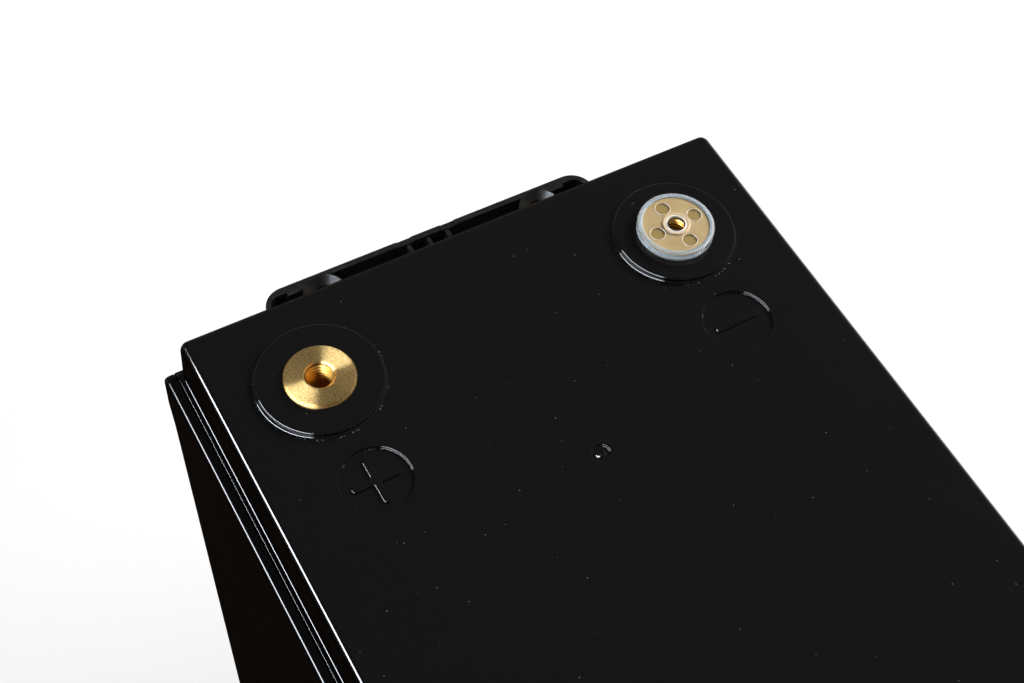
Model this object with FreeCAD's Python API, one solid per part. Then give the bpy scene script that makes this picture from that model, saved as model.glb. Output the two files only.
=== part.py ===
import FreeCAD, Part
import math
import os

os.makedirs("parts", exist_ok=True)

V = FreeCAD.Vector
X_DIR, Y_DIR, Z_DIR = V(1, 0, 0), V(0, 1, 0), V(0, 0, 1)

# Frame: X along the case with the terminals near -X, Y across the terminals, Z up, base at zero.
# All sizes are in millimetres.

# Case
BODY_L = 296.0
COLLAR_W = 172.0
TOP_Z = 217.0
LEDGE_DROP = 11.5
COLLAR_DROP = 40.0
COLLAR_STEP = 0.8
CORNER_R = 5.5
WALL_DRAFT = 0.018
WALL_T = 4.0
FLOOR_T = 4.0
BASE_EDGE_R = 2.5
RIM_EDGE_R = 1.5

# Lifting grips
GRIP_OUT = 17.0
GRIP_HALF = 51.6
GRIP_CORNER_R = 6.5
GRIP_TOP_DROP = 20.0
GRIP_WALL = 1.8
GRIP_WEB = 3.4
GRIP_POCKET = 7.0
GRIP_FLOOR = 2.0
GRIP_SLOT_HALF = 30.4
GRIP_RIB_T = 1.3
GRIP_RIB_STEP = 6.1
GRIP_RIB_DROP = 0.8
NOTCH_AT = 6.9
NOTCH_W = 4.4
NOTCH_DEPTH = 0.4
BORE_AT = 34.2
BORE_OUT = 10.4
BORE_R = 3.6
BORE_BOSS_R = 5.8
BORE_MOUTH = 1.8
END_POCKET_AT = 46.5
END_POCKET_OUT = 11.2
END_POCKET_R = 3.5

# Lid
LEDGE_IN = 6.0
RIM_IN = 3.4
TIER_CORNER_R = 5.0
TIER_EDGE_R = 2.2
RISER_DRAFT = 0.4
RISER_FOOT_R = 0.8
FLANGE_T = 3.0
SEAM_GAP = 0.4
LID_T = 3.0
LID_HOLLOW_END = 5.0
LID_RIB_T = 2.0
LID_RIB_H = 2.4
LID_RIB_STEP = 50.0
LID_RIB_COUNT = 5
LID_RIB_SHIFT = 15.0
LID_JOIN = 0.5
SKIRT_DEPTH = 6.5
SKIRT_T = 2.0
SKIRT_GAP = 0.4

# Lid top details
TERMINAL_IN = 27.5
TERMINAL_Y = 53.0
PAD_R = 16.6
PAD_H = 1.7
PAD_EDGE_R = 0.5
PAD_FOOT_R = 0.7
BOSS_R = 13.0
SIGN_IN = 59.4
SIGN_R = 9.4
SIGN_DEPTH = 0.8
SIGN_BAR_L = 13.5
SIGN_BAR_W = 2.0
SIGN_BAR_H = 0.6
GATE_IN = 77.9
GATE_R = 2.3
GATE_DEPTH = 0.9
GATE_STUB_R = 0.8

# Terminals
DISC_R = 9.35
DISC_T = 1.3
DISC_CHAMFER = 0.35
SHANK_R = 7.5
LOCK_R = 9.0
LOCK_DROP = 7.0
LOCK_H = 4.0
SHOULDER_DROP = 14.0
STUD_R = 3.9
STUD_L = 15.0
STUD_HOLE_R = 4.2
THREAD_R = 3.325
THREAD_L = 12.0
THREAD_MOUTH_R = 4.2
MOULD_FIT = 0.05
SEAL_IN_R = 7.8
SEAL_OUT_R = 8.9
SEAL_T = 1.2
NUT_AF = 13.0
NUT_H = 6.5

# Protective cap
CAP_R = 10.55
CAP_GAP = 0.2
CAP_TOP_T = 1.4
CAP_LIFT = 0.1
CAP_TEETH = 60
CAP_TOOTH = 0.28
CAP_HUB_R = 3.9
CAP_HOLE_R = 2.9
CAP_DIMPLE_R = 1.95
CAP_DIMPLE_AT = 6.3
CAP_DIMPLE_DEPTH = 0.35
CAP_RIM_W = 1.0
CAP_RIM_H = 0.4

# Cells
CELL_T = 36.7
CELL_W = 130.3
BASE_PAD_T = 2.0
CELL_DROP = 17.0
CAN_EDGE_R = 1.6
POLE_Y = 32.0
POLE_R = 8.0
POLE_H = 3.0
VENT_L = 24.0
VENT_W = 11.0
VENT_DEPTH = 0.6
BOLT_R = 2.9
BOLT_HOLE_R = 3.1
BOLT_DEPTH = 7.0
BOLT_AF = 10.0
BOLT_HEAD_H = 4.0
CELL_COUNT = 4

# Pack hardware
SPACER_T = 0.8
PLATE_T = 3.0
PLATE_EDGE_R = 3.0
STRAP_W = 16.0
STRAP_T = 0.8
STRAP_AT = (54.0, 146.0)
BAY_L = 88.0
BAR_T = 2.0
BUSBAR_W = 18.0
ARCH_R = 4.0
ARCH_IN_R = 2.4
NEG_BAR_Y = -53.0
NEG_BAR_W = 14.0
NEG_BAR_FOOT = 8.0
TAB_OUT = 31.0
LUG_T = 2.2

# Protection board
HEAT_PLATE_T = 4.0
HEAT_PLATE_W = 118.0
BOARD_Z = 106.0
BOARD_H = 62.0
HEAT_PLATE_RISE = 2.0
BOARD_W = 120.0
BOARD_T = 1.6
BOARD_GAP = 4.9
BLOCK_T = 3.0
BLOCK_W = 13.0
BLOCK_RISE = 18.0
BLOCK_BOLT_R = 2.4
BLOCK_HOLE_R = 2.6
BLOCK_HEAD_R = 4.5
BLOCK_HEAD_H = 3.0
BLOCK_NUT_H = 3.6
BLOCK_BOLT_SPARE = 0.5
SCREW_Y = 30.0
SCREW_RISE = 25.0
SCREW_R = 1.4
SCREW_HOLE_R = 1.5
SCREW_HEAD_R = 2.8
SCREW_HEAD_H = 2.0
SCREW_SPARE = 0.2
STANDOFF_R = 3.0
TRANSISTOR_W = 8.0
TRANSISTOR_H = 10.0
TRANSISTOR_STEP = 10.0
TRANSISTOR_ROWS = (-12.0, 8.0)
TRANSISTOR_COUNT = 6
PLUG_W = 18.0
PLUG_H = 8.0
PLUG_T = 6.0
PLUG_RISE = 14.0

# Leads
LEAD_R = 4.0
LEAD_BEND_R = 20.0
LUG_EYE_R = 7.5
LUG_BARREL_R = 5.0
LUG_BARREL_L = 12.0
WIRE_R = 0.8
WIRE_BEND_R = 3.0
WIRE_STEP = 3.0
WIRE_RISE = 4.4
TAP_OUT = 12.0
TAP_IN = 10.0
LAST_TAP_IN = 7.4

# Foam
SIDE_PAD_FIT = 0.25
SIDE_PAD_WALL = 8.5
SIDE_PAD_END = 3.0
SIDE_PAD_DROP = 41.0
FAR_BLOCK_WALL = 8.4
FAR_BLOCK_SIDE = 12.0
FAR_BLOCK_DROP = 21.0
TOP_PAD_Y = 54.0
TOP_PAD_W = 14.0
TOP_PAD_GAP = 0.2
TOP_PAD_END = 12.0

# Derived levels and places
TIER_W = COLLAR_W - 2 * LEDGE_IN
FLANGE_HALF = COLLAR_W / 2 - RIM_IN
LEDGE_Z = TOP_Z - LEDGE_DROP
COLLAR_Z = TOP_Z - COLLAR_DROP
SHELF_Z = LEDGE_Z - FLANGE_T
UNDER_LID_Z = TOP_Z - LID_T
SHOULDER_Z = TOP_Z - SHOULDER_DROP
CAN_BASE_Z = FLOOR_T + BASE_PAD_T
CAN_TOP_Z = TOP_Z - CELL_DROP
STRAP_Z = [CAN_BASE_Z + at for at in STRAP_AT]
GRIP_Z = TOP_Z - GRIP_TOP_DROP
END_X = BODY_L / 2
PACK_START_X = BAY_L - END_X
WALL_TOP_X = END_X - COLLAR_STEP
WALL_TOP_Y = COLLAR_W / 2 - COLLAR_STEP
TERMINAL_X = TERMINAL_IN - END_X
PAD_Z = TOP_Z + PAD_H
DISC_Z = PAD_Z + DISC_T
POLE_Z = CAN_TOP_Z + POLE_H
BAR_Z = POLE_Z + BAR_T
CELL_STEP = CELL_T + SPACER_T
CELL_X = [PACK_START_X + PLATE_T + CELL_T / 2 + i * CELL_STEP for i in range(CELL_COUNT)]
PACK_END_X = CELL_X[-1] + CELL_T / 2 + PLATE_T
PLATE_X = PACK_START_X - HEAT_PLATE_T
BOARD_BACK_X = PLATE_X - BOARD_GAP
BOARD_X = BOARD_BACK_X - BOARD_T
BLOCK_X = BOARD_X - BLOCK_T
BLOCK_Z = BOARD_Z + BLOCK_RISE
PLUG_Z = BOARD_Z + PLUG_RISE
TAB_END_X = PACK_START_X - TAB_OUT
LUG_AXIS_Z = SHOULDER_Z - LUG_BARREL_R


def rounded_wire(lx, ly, r, z):
    """Closed outline of a rounded rectangle centred on the Z axis."""
    hx, hy = lx / 2, ly / 2
    d = r * (1 - math.sqrt(0.5))
    edges = []
    corners = [(1, -1), (1, 1), (-1, 1), (-1, -1)]
    for i, (sx, sy) in enumerate(corners):
        nx, ny = corners[(i + 1) % 4]
        along_y = i % 2 == 0
        first = V(sx * hx, sy * (hy - r), z) if along_y else V(sx * (hx - r), sy * hy, z)
        last = V(nx * hx, ny * (hy - r), z) if along_y else V(nx * (hx - r), ny * hy, z)
        after = V(nx * (hx - r), ny * hy, z) if along_y else V(nx * hx, ny * (hy - r), z)
        edges.append(Part.makeLine(first, last))
        edges.append(Part.Arc(last, V(nx * (hx - d), ny * (hy - d), z), after).toShape())
    return Part.Wire(edges)


def rounded_prism(lx, ly, r, z0, z1):
    return Part.Face(rounded_wire(lx, ly, r, z0)).extrude(V(0, 0, z1 - z0))


def box(x0, x1, y0, y1, z0, z1):
    return Part.makeBox(x1 - x0, y1 - y0, z1 - z0, V(x0, y0, z0))


def cylinder(r, x, y, z0, z1):
    return Part.makeCylinder(r, z1 - z0, V(x, y, z0))


def rod_x(r, x0, x1, y, z):
    return Part.makeCylinder(r, x1 - x0, V(x0, y, z), X_DIR)


def hexagon(af, x, y, z0, z1):
    r = af / math.sqrt(3)
    points = [V(x + r * math.cos(math.radians(a)), y + r * math.sin(math.radians(a)), z0)
              for a in range(30, 391, 60)]
    return Part.Face(Part.makePolygon(points)).extrude(V(0, 0, z1 - z0))


def revolved(profile, x, y):
    """Solid of revolution about a vertical axis from (radius, z) points."""
    points = [V(x + r, y, z) for r, z in profile]
    face = Part.Face(Part.makePolygon(points + points[:1]))
    return face.revolve(V(x, y, 0), Z_DIR, 360)


def filleted(shape, r, wanted):
    edges = [e for e in shape.Edges if wanted(e)]
    return shape.makeFillet(r, edges)


def at_level(z, tolerance=0.01):
    def test(edge):
        box_of = edge.BoundBox
        return abs(box_of.ZMin - z) < tolerance and abs(box_of.ZMax - z) < tolerance
    return test


def rod(r, start, end):
    return Part.makeCylinder(r, start.distanceToPoint(end), start, end - start)


def bent_rod(r, first, last, centre, turn):
    """Quarter or half ring of round section from first to last about an axis through centre."""
    heading = turn.cross(first - centre).normalize()
    section = Part.Face(Part.Wire([Part.makeCircle(r, first, heading)]))
    angle = math.degrees((first - centre).getAngle(last - centre))
    return section.revolve(centre, turn, angle)


def pipe(points, r, bend):
    """Round lead along a path of straight runs at right angles, joined by arcs."""
    pieces = []
    start = points[0]
    for before, corner, after in zip(points, points[1:], points[2:]):
        back = (before - corner).normalize()
        ahead = (after - corner).normalize()
        first, last = corner + back * bend, corner + ahead * bend
        pieces.append(rod(r, start, first))
        pieces.append(bent_rod(r, first, last, corner + (back + ahead) * bend, ahead.cross(back)))
        start = last
    pieces.append(rod(r, start, points[-1]))
    return fuse_all(pieces[0], pieces[1:])


def group(solids):
    return Part.makeCompound(solids)


def cut_all(shape, tools):
    return shape.cut(tools[0].multiFuse(tools[1:]) if len(tools) > 1 else tools[0])


def fuse_all(shape, others):
    return shape.multiFuse(others).removeSplitter()


def mirrored_x(shape):
    return shape.mirror(V(0, 0, 0), X_DIR)


def wall_half(z):
    """Half length and half width of the drafted case wall at a level."""
    inset = WALL_DRAFT * (COLLAR_Z - z)
    return WALL_TOP_X - inset, WALL_TOP_Y - inset


def drafted_block(z0, z1, inset, r):
    x0, y0 = wall_half(z0)
    x1, y1 = wall_half(z1)
    low = rounded_wire(2 * (x0 - inset), 2 * (y0 - inset), r, z0)
    high = rounded_wire(2 * (x1 - inset), 2 * (y1 - inset), r, z1)
    return Part.makeLoft([low, high], True, True)


def grip_body():
    """Hollow lifting grip on the +X end, with coring, ribs and two bored bosses."""
    half, r = GRIP_HALF, GRIP_CORNER_R
    block = rounded_prism(2 * (GRIP_OUT + r), 2 * half, r, COLLAR_Z, GRIP_Z)
    block.translate(V(END_X - r, 0, 0))
    block = block.common(box(END_X - 2.5, END_X + GRIP_OUT, -half, half, COLLAR_Z, GRIP_Z))
    floor_z = GRIP_Z - GRIP_POCKET
    inner = END_X + GRIP_OUT - GRIP_WALL
    web = END_X + GRIP_OUT - GRIP_WEB
    cuts = [box(END_X, inner, -GRIP_SLOT_HALF, GRIP_SLOT_HALF, floor_z, GRIP_Z)]
    for side in (-1, 1):
        low, high = sorted((side * GRIP_SLOT_HALF, side * END_POCKET_AT))
        cuts.append(box(END_X, web, low, high, floor_z, GRIP_Z))
        pocket_x = END_X + END_POCKET_OUT
        cuts.append(cylinder(END_POCKET_R, pocket_x, side * END_POCKET_AT, floor_z, GRIP_Z))
        low, high = sorted((side * END_POCKET_AT, side * (END_POCKET_AT + END_POCKET_R)))
        cuts.append(box(END_X, pocket_x, low, high, floor_z, GRIP_Z))
    hollow_half = half - GRIP_WALL
    hollow = rounded_prism(2 * (GRIP_OUT - GRIP_WALL + r), 2 * hollow_half, r - GRIP_WALL,
                           COLLAR_Z, floor_z - GRIP_FLOOR)
    hollow.translate(V(END_X - r, 0, 0))
    hollow = hollow.common(box(END_X, inner, -half, half, COLLAR_Z, floor_z - GRIP_FLOOR))
    grip = cut_all(block, cuts + [hollow])
    added = []
    for i in (-1, 0, 1):
        y = i * GRIP_RIB_STEP
        added.append(box(END_X - 0.5, inner + 0.3, y - GRIP_RIB_T / 2, y + GRIP_RIB_T / 2,
                         floor_z - 0.5, GRIP_Z - GRIP_RIB_DROP))
    for side in (-1, 1):
        added.append(cylinder(BORE_BOSS_R, END_X + BORE_OUT, side * BORE_AT,
                              floor_z - GRIP_FLOOR, GRIP_Z))
    grip = fuse_all(grip, added)
    bores = []
    for side in (-1, 1):
        x, y = END_X + BORE_OUT, side * BORE_AT
        mouth = BORE_R + BORE_MOUTH
        bores.append(cylinder(BORE_R, x, y, COLLAR_Z, GRIP_Z))
        bores.append(Part.makeCone(BORE_R, mouth, BORE_MOUTH, V(x, y, GRIP_Z - BORE_MOUTH)))
        bores.append(box(inner - 0.5, END_X + GRIP_OUT, side * NOTCH_AT - NOTCH_W / 2,
                         side * NOTCH_AT + NOTCH_W / 2, GRIP_Z - NOTCH_DEPTH, GRIP_Z))
    return cut_all(grip, bores)


def case_body():
    """Drafted box with the thicker collar, the rebate for the lid and a grip at each end."""
    lower = drafted_block(0, COLLAR_Z, 0, CORNER_R)
    lower = filleted(lower, BASE_EDGE_R, at_level(0))
    collar = rounded_prism(BODY_L, COLLAR_W, CORNER_R, COLLAR_Z, LEDGE_Z)
    collar = filleted(collar, RIM_EDGE_R, at_level(LEDGE_Z))
    grip = grip_body()
    shell = fuse_all(lower, [collar, grip, mirrored_x(grip)])
    cavity = drafted_block(FLOOR_T, COLLAR_Z, WALL_T, CORNER_R - 2)
    throat = rounded_prism(2 * (WALL_TOP_X - WALL_T), 2 * (WALL_TOP_Y - WALL_T), CORNER_R - 2,
                           COLLAR_Z, LEDGE_Z)
    rebate_half = FLANGE_HALF + SEAM_GAP
    rebate = box(-END_X - 1, END_X + 1, -rebate_half, rebate_half, SHELF_Z, LEDGE_Z)
    return cut_all(shell, [cavity, throat, rebate])


def sign_relief(side):
    """Cutter for a round sign recess with the sign left standing in it."""
    x, y = SIGN_IN - END_X, side * TERMINAL_Y
    floor_z = TOP_Z - SIGN_DEPTH
    recess = cylinder(SIGN_R, x, y, floor_z, TOP_Z + 1)
    bars = [rounded_bar(x, y, SIGN_BAR_W, SIGN_BAR_L, floor_z)]
    if side < 0:
        bars.append(rounded_bar(x, y, SIGN_BAR_L, SIGN_BAR_W, floor_z))
    return cut_all(recess, bars)


def rounded_bar(x, y, lx, ly, z):
    r = min(lx, ly) / 2 - 0.01
    bar = rounded_prism(lx, ly, r, z, z + SIGN_BAR_H)
    bar.translate(V(x, y, 0))
    return bar


def gate_mark(x):
    """Cutter for a round dimple with a small stub standing in it."""
    radius = (GATE_R ** 2 + GATE_DEPTH ** 2) / (2 * GATE_DEPTH)
    ball = Part.makeSphere(radius, V(x, 0, TOP_Z - GATE_DEPTH + radius))
    stub = cylinder(GATE_STUB_R, x, 0, TOP_Z - GATE_DEPTH - 0.2, TOP_Z - GATE_DEPTH / 3)
    return ball.cut(stub)


def lid_body():
    """Lid with its raised tier, terminal pads, polarity signs, flange, skirt, bosses and ribs."""
    tier_low = rounded_wire(BODY_L, TIER_W + 2 * RISER_DRAFT, TIER_CORNER_R, SHELF_Z)
    tier_high = rounded_wire(BODY_L - RISER_DRAFT, TIER_W, TIER_CORNER_R, TOP_Z)
    tier = Part.makeLoft([tier_low, tier_high], True, True)
    tier = filleted(tier, TIER_EDGE_R, at_level(TOP_Z))
    outline = rounded_prism(BODY_L, COLLAR_W, CORNER_R, SHELF_Z, LEDGE_Z)
    flange = outline.common(box(-END_X, END_X, -FLANGE_HALF, FLANGE_HALF, SHELF_Z, LEDGE_Z))
    body = tier.fuse(flange).removeSplitter()
    foot = TIER_W / 2 + RISER_DRAFT

    def riser_foot(edge):
        length = edge.BoundBox.XLength
        return at_level(LEDGE_Z)(edge) and abs(abs(edge.CenterOfMass.y) - foot) < 0.5 and length > 200
    body = filleted(body, RISER_FOOT_R, riser_foot)
    for side in (-1, 1):
        pad = revolved([(0, TOP_Z - 1), (PAD_R + PAD_FOOT_R, TOP_Z - 1), (PAD_R + PAD_FOOT_R, TOP_Z),
                        (PAD_R + 0.2, TOP_Z + PAD_FOOT_R), (PAD_R, PAD_Z - PAD_EDGE_R),
                        (PAD_R - 0.15, PAD_Z - 0.15), (PAD_R - PAD_EDGE_R, PAD_Z), (0, PAD_Z)],
                       TERMINAL_X, side * TERMINAL_Y)
        body = body.fuse(pad)
    inner_y = TIER_W / 2 - LID_T
    hollow = rounded_prism(BODY_L - 2 * LID_HOLLOW_END, 2 * inner_y, LID_T, SHELF_Z, UNDER_LID_Z)
    body = body.cut(hollow)
    added = []
    out_x = WALL_TOP_X - WALL_T - SKIRT_GAP
    out_y = WALL_TOP_Y - WALL_T - SKIRT_GAP
    ring = rounded_prism(2 * out_x, 2 * out_y, SKIRT_T + 1, SHELF_Z - SKIRT_DEPTH, SHELF_Z + LID_JOIN)
    inner_ring = rounded_prism(2 * (out_x - SKIRT_T), 2 * (out_y - SKIRT_T), SKIRT_T,
                               SHELF_Z - SKIRT_DEPTH, SHELF_Z + LID_JOIN)
    added.append(ring.cut(inner_ring))
    for i in range(LID_RIB_COUNT):
        x = (i - (LID_RIB_COUNT - 1) / 2) * LID_RIB_STEP + LID_RIB_SHIFT
        added.append(box(x - LID_RIB_T / 2, x + LID_RIB_T / 2, -inner_y - LID_JOIN, inner_y + LID_JOIN,
                         UNDER_LID_Z - LID_RIB_H, UNDER_LID_Z + LID_JOIN))
    for side in (-1, 1):
        added.append(cylinder(BOSS_R, TERMINAL_X, side * TERMINAL_Y, SHOULDER_Z, UNDER_LID_Z + LID_JOIN))
    body = fuse_all(body, added)
    cuts = [gate_mark(GATE_IN - END_X), gate_mark(END_X - GATE_IN)]
    for side in (-1, 1):
        x, y = TERMINAL_X, side * TERMINAL_Y
        cuts.append(sign_relief(side))
        cuts.append(terminal_core(x, y, MOULD_FIT))
        groove = cylinder(SEAL_OUT_R + 0.1, x, y, PAD_Z - SEAL_T, PAD_Z + 1)
        cuts.append(groove)
    return cut_all(body, cuts)


def terminal_core(x, y, gap):
    """Moulded-in part of a terminal, below its flange."""
    lock_top = PAD_Z - LOCK_DROP + gap
    lock_low = lock_top - LOCK_H - 2 * gap
    return revolved([(0, SHOULDER_Z), (SHANK_R + gap, SHOULDER_Z), (SHANK_R + gap, lock_low),
                     (LOCK_R + gap, lock_low), (LOCK_R + gap, lock_top), (SHANK_R + gap, lock_top),
                     (SHANK_R + gap, PAD_Z), (0, PAD_Z)], x, y)


def terminal(side):
    """Turned brass terminal with a flange, a blind threaded hole above and a stud below."""
    x, y = TERMINAL_X, side * TERMINAL_Y
    core = terminal_core(x, y, 0)
    disc = revolved([(0, PAD_Z), (DISC_R, PAD_Z), (DISC_R, DISC_Z - DISC_CHAMFER),
                     (DISC_R - DISC_CHAMFER, DISC_Z), (0, DISC_Z)], x, y)
    stud = revolved([(0, SHOULDER_Z), (STUD_R, SHOULDER_Z), (STUD_R, SHOULDER_Z - STUD_L + 1),
                     (STUD_R - 1, SHOULDER_Z - STUD_L), (0, SHOULDER_Z - STUD_L)], x, y)
    depth = DISC_Z - THREAD_L
    mouth = THREAD_MOUTH_R - THREAD_R
    hole = revolved([(0, depth - 1.5), (THREAD_R, depth), (THREAD_R, DISC_Z - mouth),
                     (THREAD_MOUTH_R, DISC_Z), (THREAD_MOUTH_R, DISC_Z + 1), (0, DISC_Z + 1)], x, y)
    return fuse_all(core, [disc, stud]).cut(hole)


def seal_ring(side):
    ring = cylinder(SEAL_OUT_R, TERMINAL_X, side * TERMINAL_Y, PAD_Z - SEAL_T, PAD_Z)
    return ring.cut(cylinder(SEAL_IN_R, TERMINAL_X, side * TERMINAL_Y, PAD_Z - SEAL_T, PAD_Z))


def terminal_nuts():
    nuts = []
    top = SHOULDER_Z - LUG_T
    for side in (-1, 1):
        nut = hexagon(NUT_AF, TERMINAL_X, side * TERMINAL_Y, top - NUT_H, top)
        nuts.append(nut.cut(cylinder(STUD_R + 0.05, TERMINAL_X, side * TERMINAL_Y, top - NUT_H, top)))
    return group(nuts)


def protective_cap():
    """Press-on cap with a knurled wall, a raised rim, four dimples and an open hub."""
    x, y = TERMINAL_X, TERMINAL_Y
    under = DISC_Z + CAP_LIFT
    top = under + CAP_TOP_T
    root = CAP_R - CAP_TOOTH
    inside = DISC_R + CAP_GAP
    points = []
    for i in range(CAP_TEETH):
        for share, r in ((0.0, root), (0.3, CAP_R), (0.55, CAP_R), (0.85, root)):
            a = 2 * math.pi * (i + share) / CAP_TEETH
            points.append(V(x + r * math.cos(a), y + r * math.sin(a), PAD_Z))
    wall = Part.Face(Part.makePolygon(points + points[:1])).extrude(V(0, 0, top - PAD_Z))
    rim_in = root - CAP_RIM_W
    cuts = [cylinder(inside, x, y, PAD_Z, under), cylinder(CAP_HOLE_R, x, y, PAD_Z, top + 1)]
    floor_z = top - CAP_RIM_H
    dish = cylinder(rim_in, x, y, floor_z, top + 1)
    cuts.append(dish.cut(cylinder(CAP_HUB_R, x, y, floor_z, top + 1)))
    for k in range(4):
        a = k * math.pi / 2
        cuts.append(cylinder(CAP_DIMPLE_R, x + CAP_DIMPLE_AT * math.cos(a), y + CAP_DIMPLE_AT * math.sin(a),
                             floor_z - CAP_DIMPLE_DEPTH, top + 1))
    return cut_all(wall, cuts)


def cell(index):
    """Prismatic cell with two poles, a vent recess and blind threaded pole holes."""
    x = CELL_X[index]
    can = box(x - CELL_T / 2, x + CELL_T / 2, -CELL_W / 2, CELL_W / 2, CAN_BASE_Z, CAN_TOP_Z)

    def upright(edge):
        return edge.BoundBox.ZLength > 100
    can = filleted(can, CAN_EDGE_R, upright)
    poles = [cylinder(POLE_R, x, side * POLE_Y, CAN_TOP_Z - 1, POLE_Z) for side in (-1, 1)]
    can = fuse_all(can, poles)
    vent = rounded_prism(VENT_W, VENT_L, VENT_W / 2 - 0.01, CAN_TOP_Z - VENT_DEPTH, CAN_TOP_Z + 1)
    vent.translate(V(x, 0, 0))
    holes = [cylinder(BOLT_HOLE_R, x, side * POLE_Y, BAR_Z - BOLT_DEPTH - 1, POLE_Z) for side in (-1, 1)]
    return cut_all(can, [vent] + holes)


def spacer(index):
    x = CELL_X[index] + CELL_T / 2
    return box(x, x + SPACER_T, -CELL_W / 2 + 1.5, CELL_W / 2 - 1.5, CAN_BASE_Z, CAN_TOP_Z - 1)


def end_plate(x):
    plate = box(x, x + PLATE_T, -CELL_W / 2, CELL_W / 2, CAN_BASE_Z, CAN_TOP_Z)
    outer = x if x < 0 else x + PLATE_T

    def outer_upright(edge):
        return edge.BoundBox.ZLength > 100 and abs(edge.CenterOfMass.x - outer) < 0.01
    plate = filleted(plate, PLATE_EDGE_R - 0.2, outer_upright)
    if x < 0:
        plate = cut_all(plate, [rod_x(SCREW_HOLE_R, x, x + PLATE_T, y, z) for y, z in screw_places()])
    return plate


def screw_places():
    return [(sy * SCREW_Y, BOARD_Z + sz * SCREW_RISE) for sy in (-1, 1) for sz in (-1, 1)]


def strap(z):
    """Flat band round the end plates and the sides of the cells."""
    length = PACK_END_X - PACK_START_X
    r = PLATE_EDGE_R - 0.2
    outer = rounded_prism(length + 2 * STRAP_T, CELL_W + 2 * STRAP_T, r + STRAP_T,
                          z - STRAP_W / 2, z + STRAP_W / 2)
    inner = rounded_prism(length, CELL_W, r, z - STRAP_W / 2, z + STRAP_W / 2)
    band = outer.cut(inner)
    band.translate(V((PACK_START_X + PACK_END_X) / 2, 0, 0))
    return band


def bolt_hole(x, y):
    return cylinder(BOLT_HOLE_R, x, y, POLE_Z - 1, BAR_Z + 1)


def busbar(index):
    """Bar with an arched middle that joins two neighbouring cells."""
    y = POLE_Y if index % 2 == 0 else -POLE_Y
    x0, x1 = CELL_X[index], CELL_X[index + 1]
    r = BUSBAR_W / 2
    bar = box(x0, x1, y - r, y + r, POLE_Z, BAR_Z)
    bar = fuse_all(bar, [cylinder(r, x0, y, POLE_Z, BAR_Z), cylinder(r, x1, y, POLE_Z, BAR_Z)])
    middle = (x0 + x1) / 2
    arch = Part.makeCylinder(ARCH_R, BUSBAR_W, V(middle, y - r, POLE_Z), Y_DIR)
    hollow = Part.makeCylinder(ARCH_IN_R, BUSBAR_W, V(middle, y - r, POLE_Z), Y_DIR)
    arch = arch.common(box(middle - ARCH_R, middle + ARCH_R, y - r, y + r, POLE_Z, POLE_Z + ARCH_R))
    bar = fuse_all(bar, [arch])
    return cut_all(bar, [hollow, bolt_hole(x0, y), bolt_hole(x1, y)])


def positive_tab():
    x = CELL_X[0]
    y = -POLE_Y
    half = BUSBAR_W / 2
    tab = box(TAB_END_X, x, y - half, y + half, POLE_Z, BAR_Z).fuse(cylinder(half, x, y, POLE_Z, BAR_Z))
    lug_x = TAB_END_X + LUG_EYE_R
    return cut_all(tab.removeSplitter(), [bolt_hole(x, y), bolt_hole(lug_x, y)])


def negative_bar():
    """Long flat bar from the last cell along the pack and down to the protection board."""
    x = CELL_X[-1]
    half = NEG_BAR_W / 2
    y0, y1 = NEG_BAR_Y - half, NEG_BAR_Y + half
    leg_x = BLOCK_X - BAR_T
    run = box(leg_x, x + BUSBAR_W / 2, y0, y1, POLE_Z, BAR_Z)
    foot = box(x - BUSBAR_W / 2, x + BUSBAR_W / 2, y1 - 1, -POLE_Y, POLE_Z, BAR_Z)
    eye = cylinder(BUSBAR_W / 2, x, -POLE_Y, POLE_Z, BAR_Z)
    leg = box(leg_x, BLOCK_X, y0, y1, BLOCK_Z - NEG_BAR_FOOT, BAR_Z)
    bar = fuse_all(run, [foot, eye, leg])

    def bend(edge):
        return (edge.BoundBox.YLength > NEG_BAR_W - 0.1 and abs(edge.CenterOfMass.x - leg_x) < 0.01
                and edge.CenterOfMass.z > BAR_Z - 0.01)
    bar = filleted(bar, BAR_T, bend)
    pad_hole = rod_x(BLOCK_HOLE_R, leg_x, BLOCK_X, NEG_BAR_Y, BLOCK_Z)
    return cut_all(bar, [bolt_hole(x, -POLE_Y), pad_hole])


def bar_insulator():
    half = NEG_BAR_W / 2 - 0.5
    return box(CELL_X[0], CELL_X[-1], NEG_BAR_Y - half, NEG_BAR_Y + half, CAN_TOP_Z, POLE_Z)


def pole_bolts():
    bolts = []
    for x in CELL_X:
        for y in (-POLE_Y, POLE_Y):
            bolts.append(bolt(x, y, BAR_Z, BOLT_DEPTH))
    return group(bolts)


def bolt(x, y, seat_z, depth):
    head = hexagon(BOLT_AF, x, y, seat_z, seat_z + BOLT_HEAD_H)
    return head.fuse(cylinder(BOLT_R, x, y, seat_z - depth, seat_z)).removeSplitter()


def tab_bolt():
    x, y = TAB_END_X + LUG_EYE_R, -POLE_Y
    depth = BAR_T + LUG_T + 7.0
    body = bolt(x, y, BAR_Z, depth)
    nut_top = POLE_Z - LUG_T
    nut = hexagon(BOLT_AF, x, y, nut_top - 5.0, nut_top)
    nut = nut.cut(cylinder(BOLT_R + 0.05, x, y, nut_top - 5.0, nut_top))
    return group([body, nut])


def heat_plate():
    half = BOARD_H / 2 + HEAT_PLATE_RISE
    plate = box(PLATE_X, PACK_START_X, -HEAT_PLATE_W / 2, HEAT_PLATE_W / 2, BOARD_Z - half, BOARD_Z + half)
    return cut_all(plate, [rod_x(SCREW_HOLE_R, PLATE_X, PACK_START_X, y, z) for y, z in screw_places()])


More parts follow.
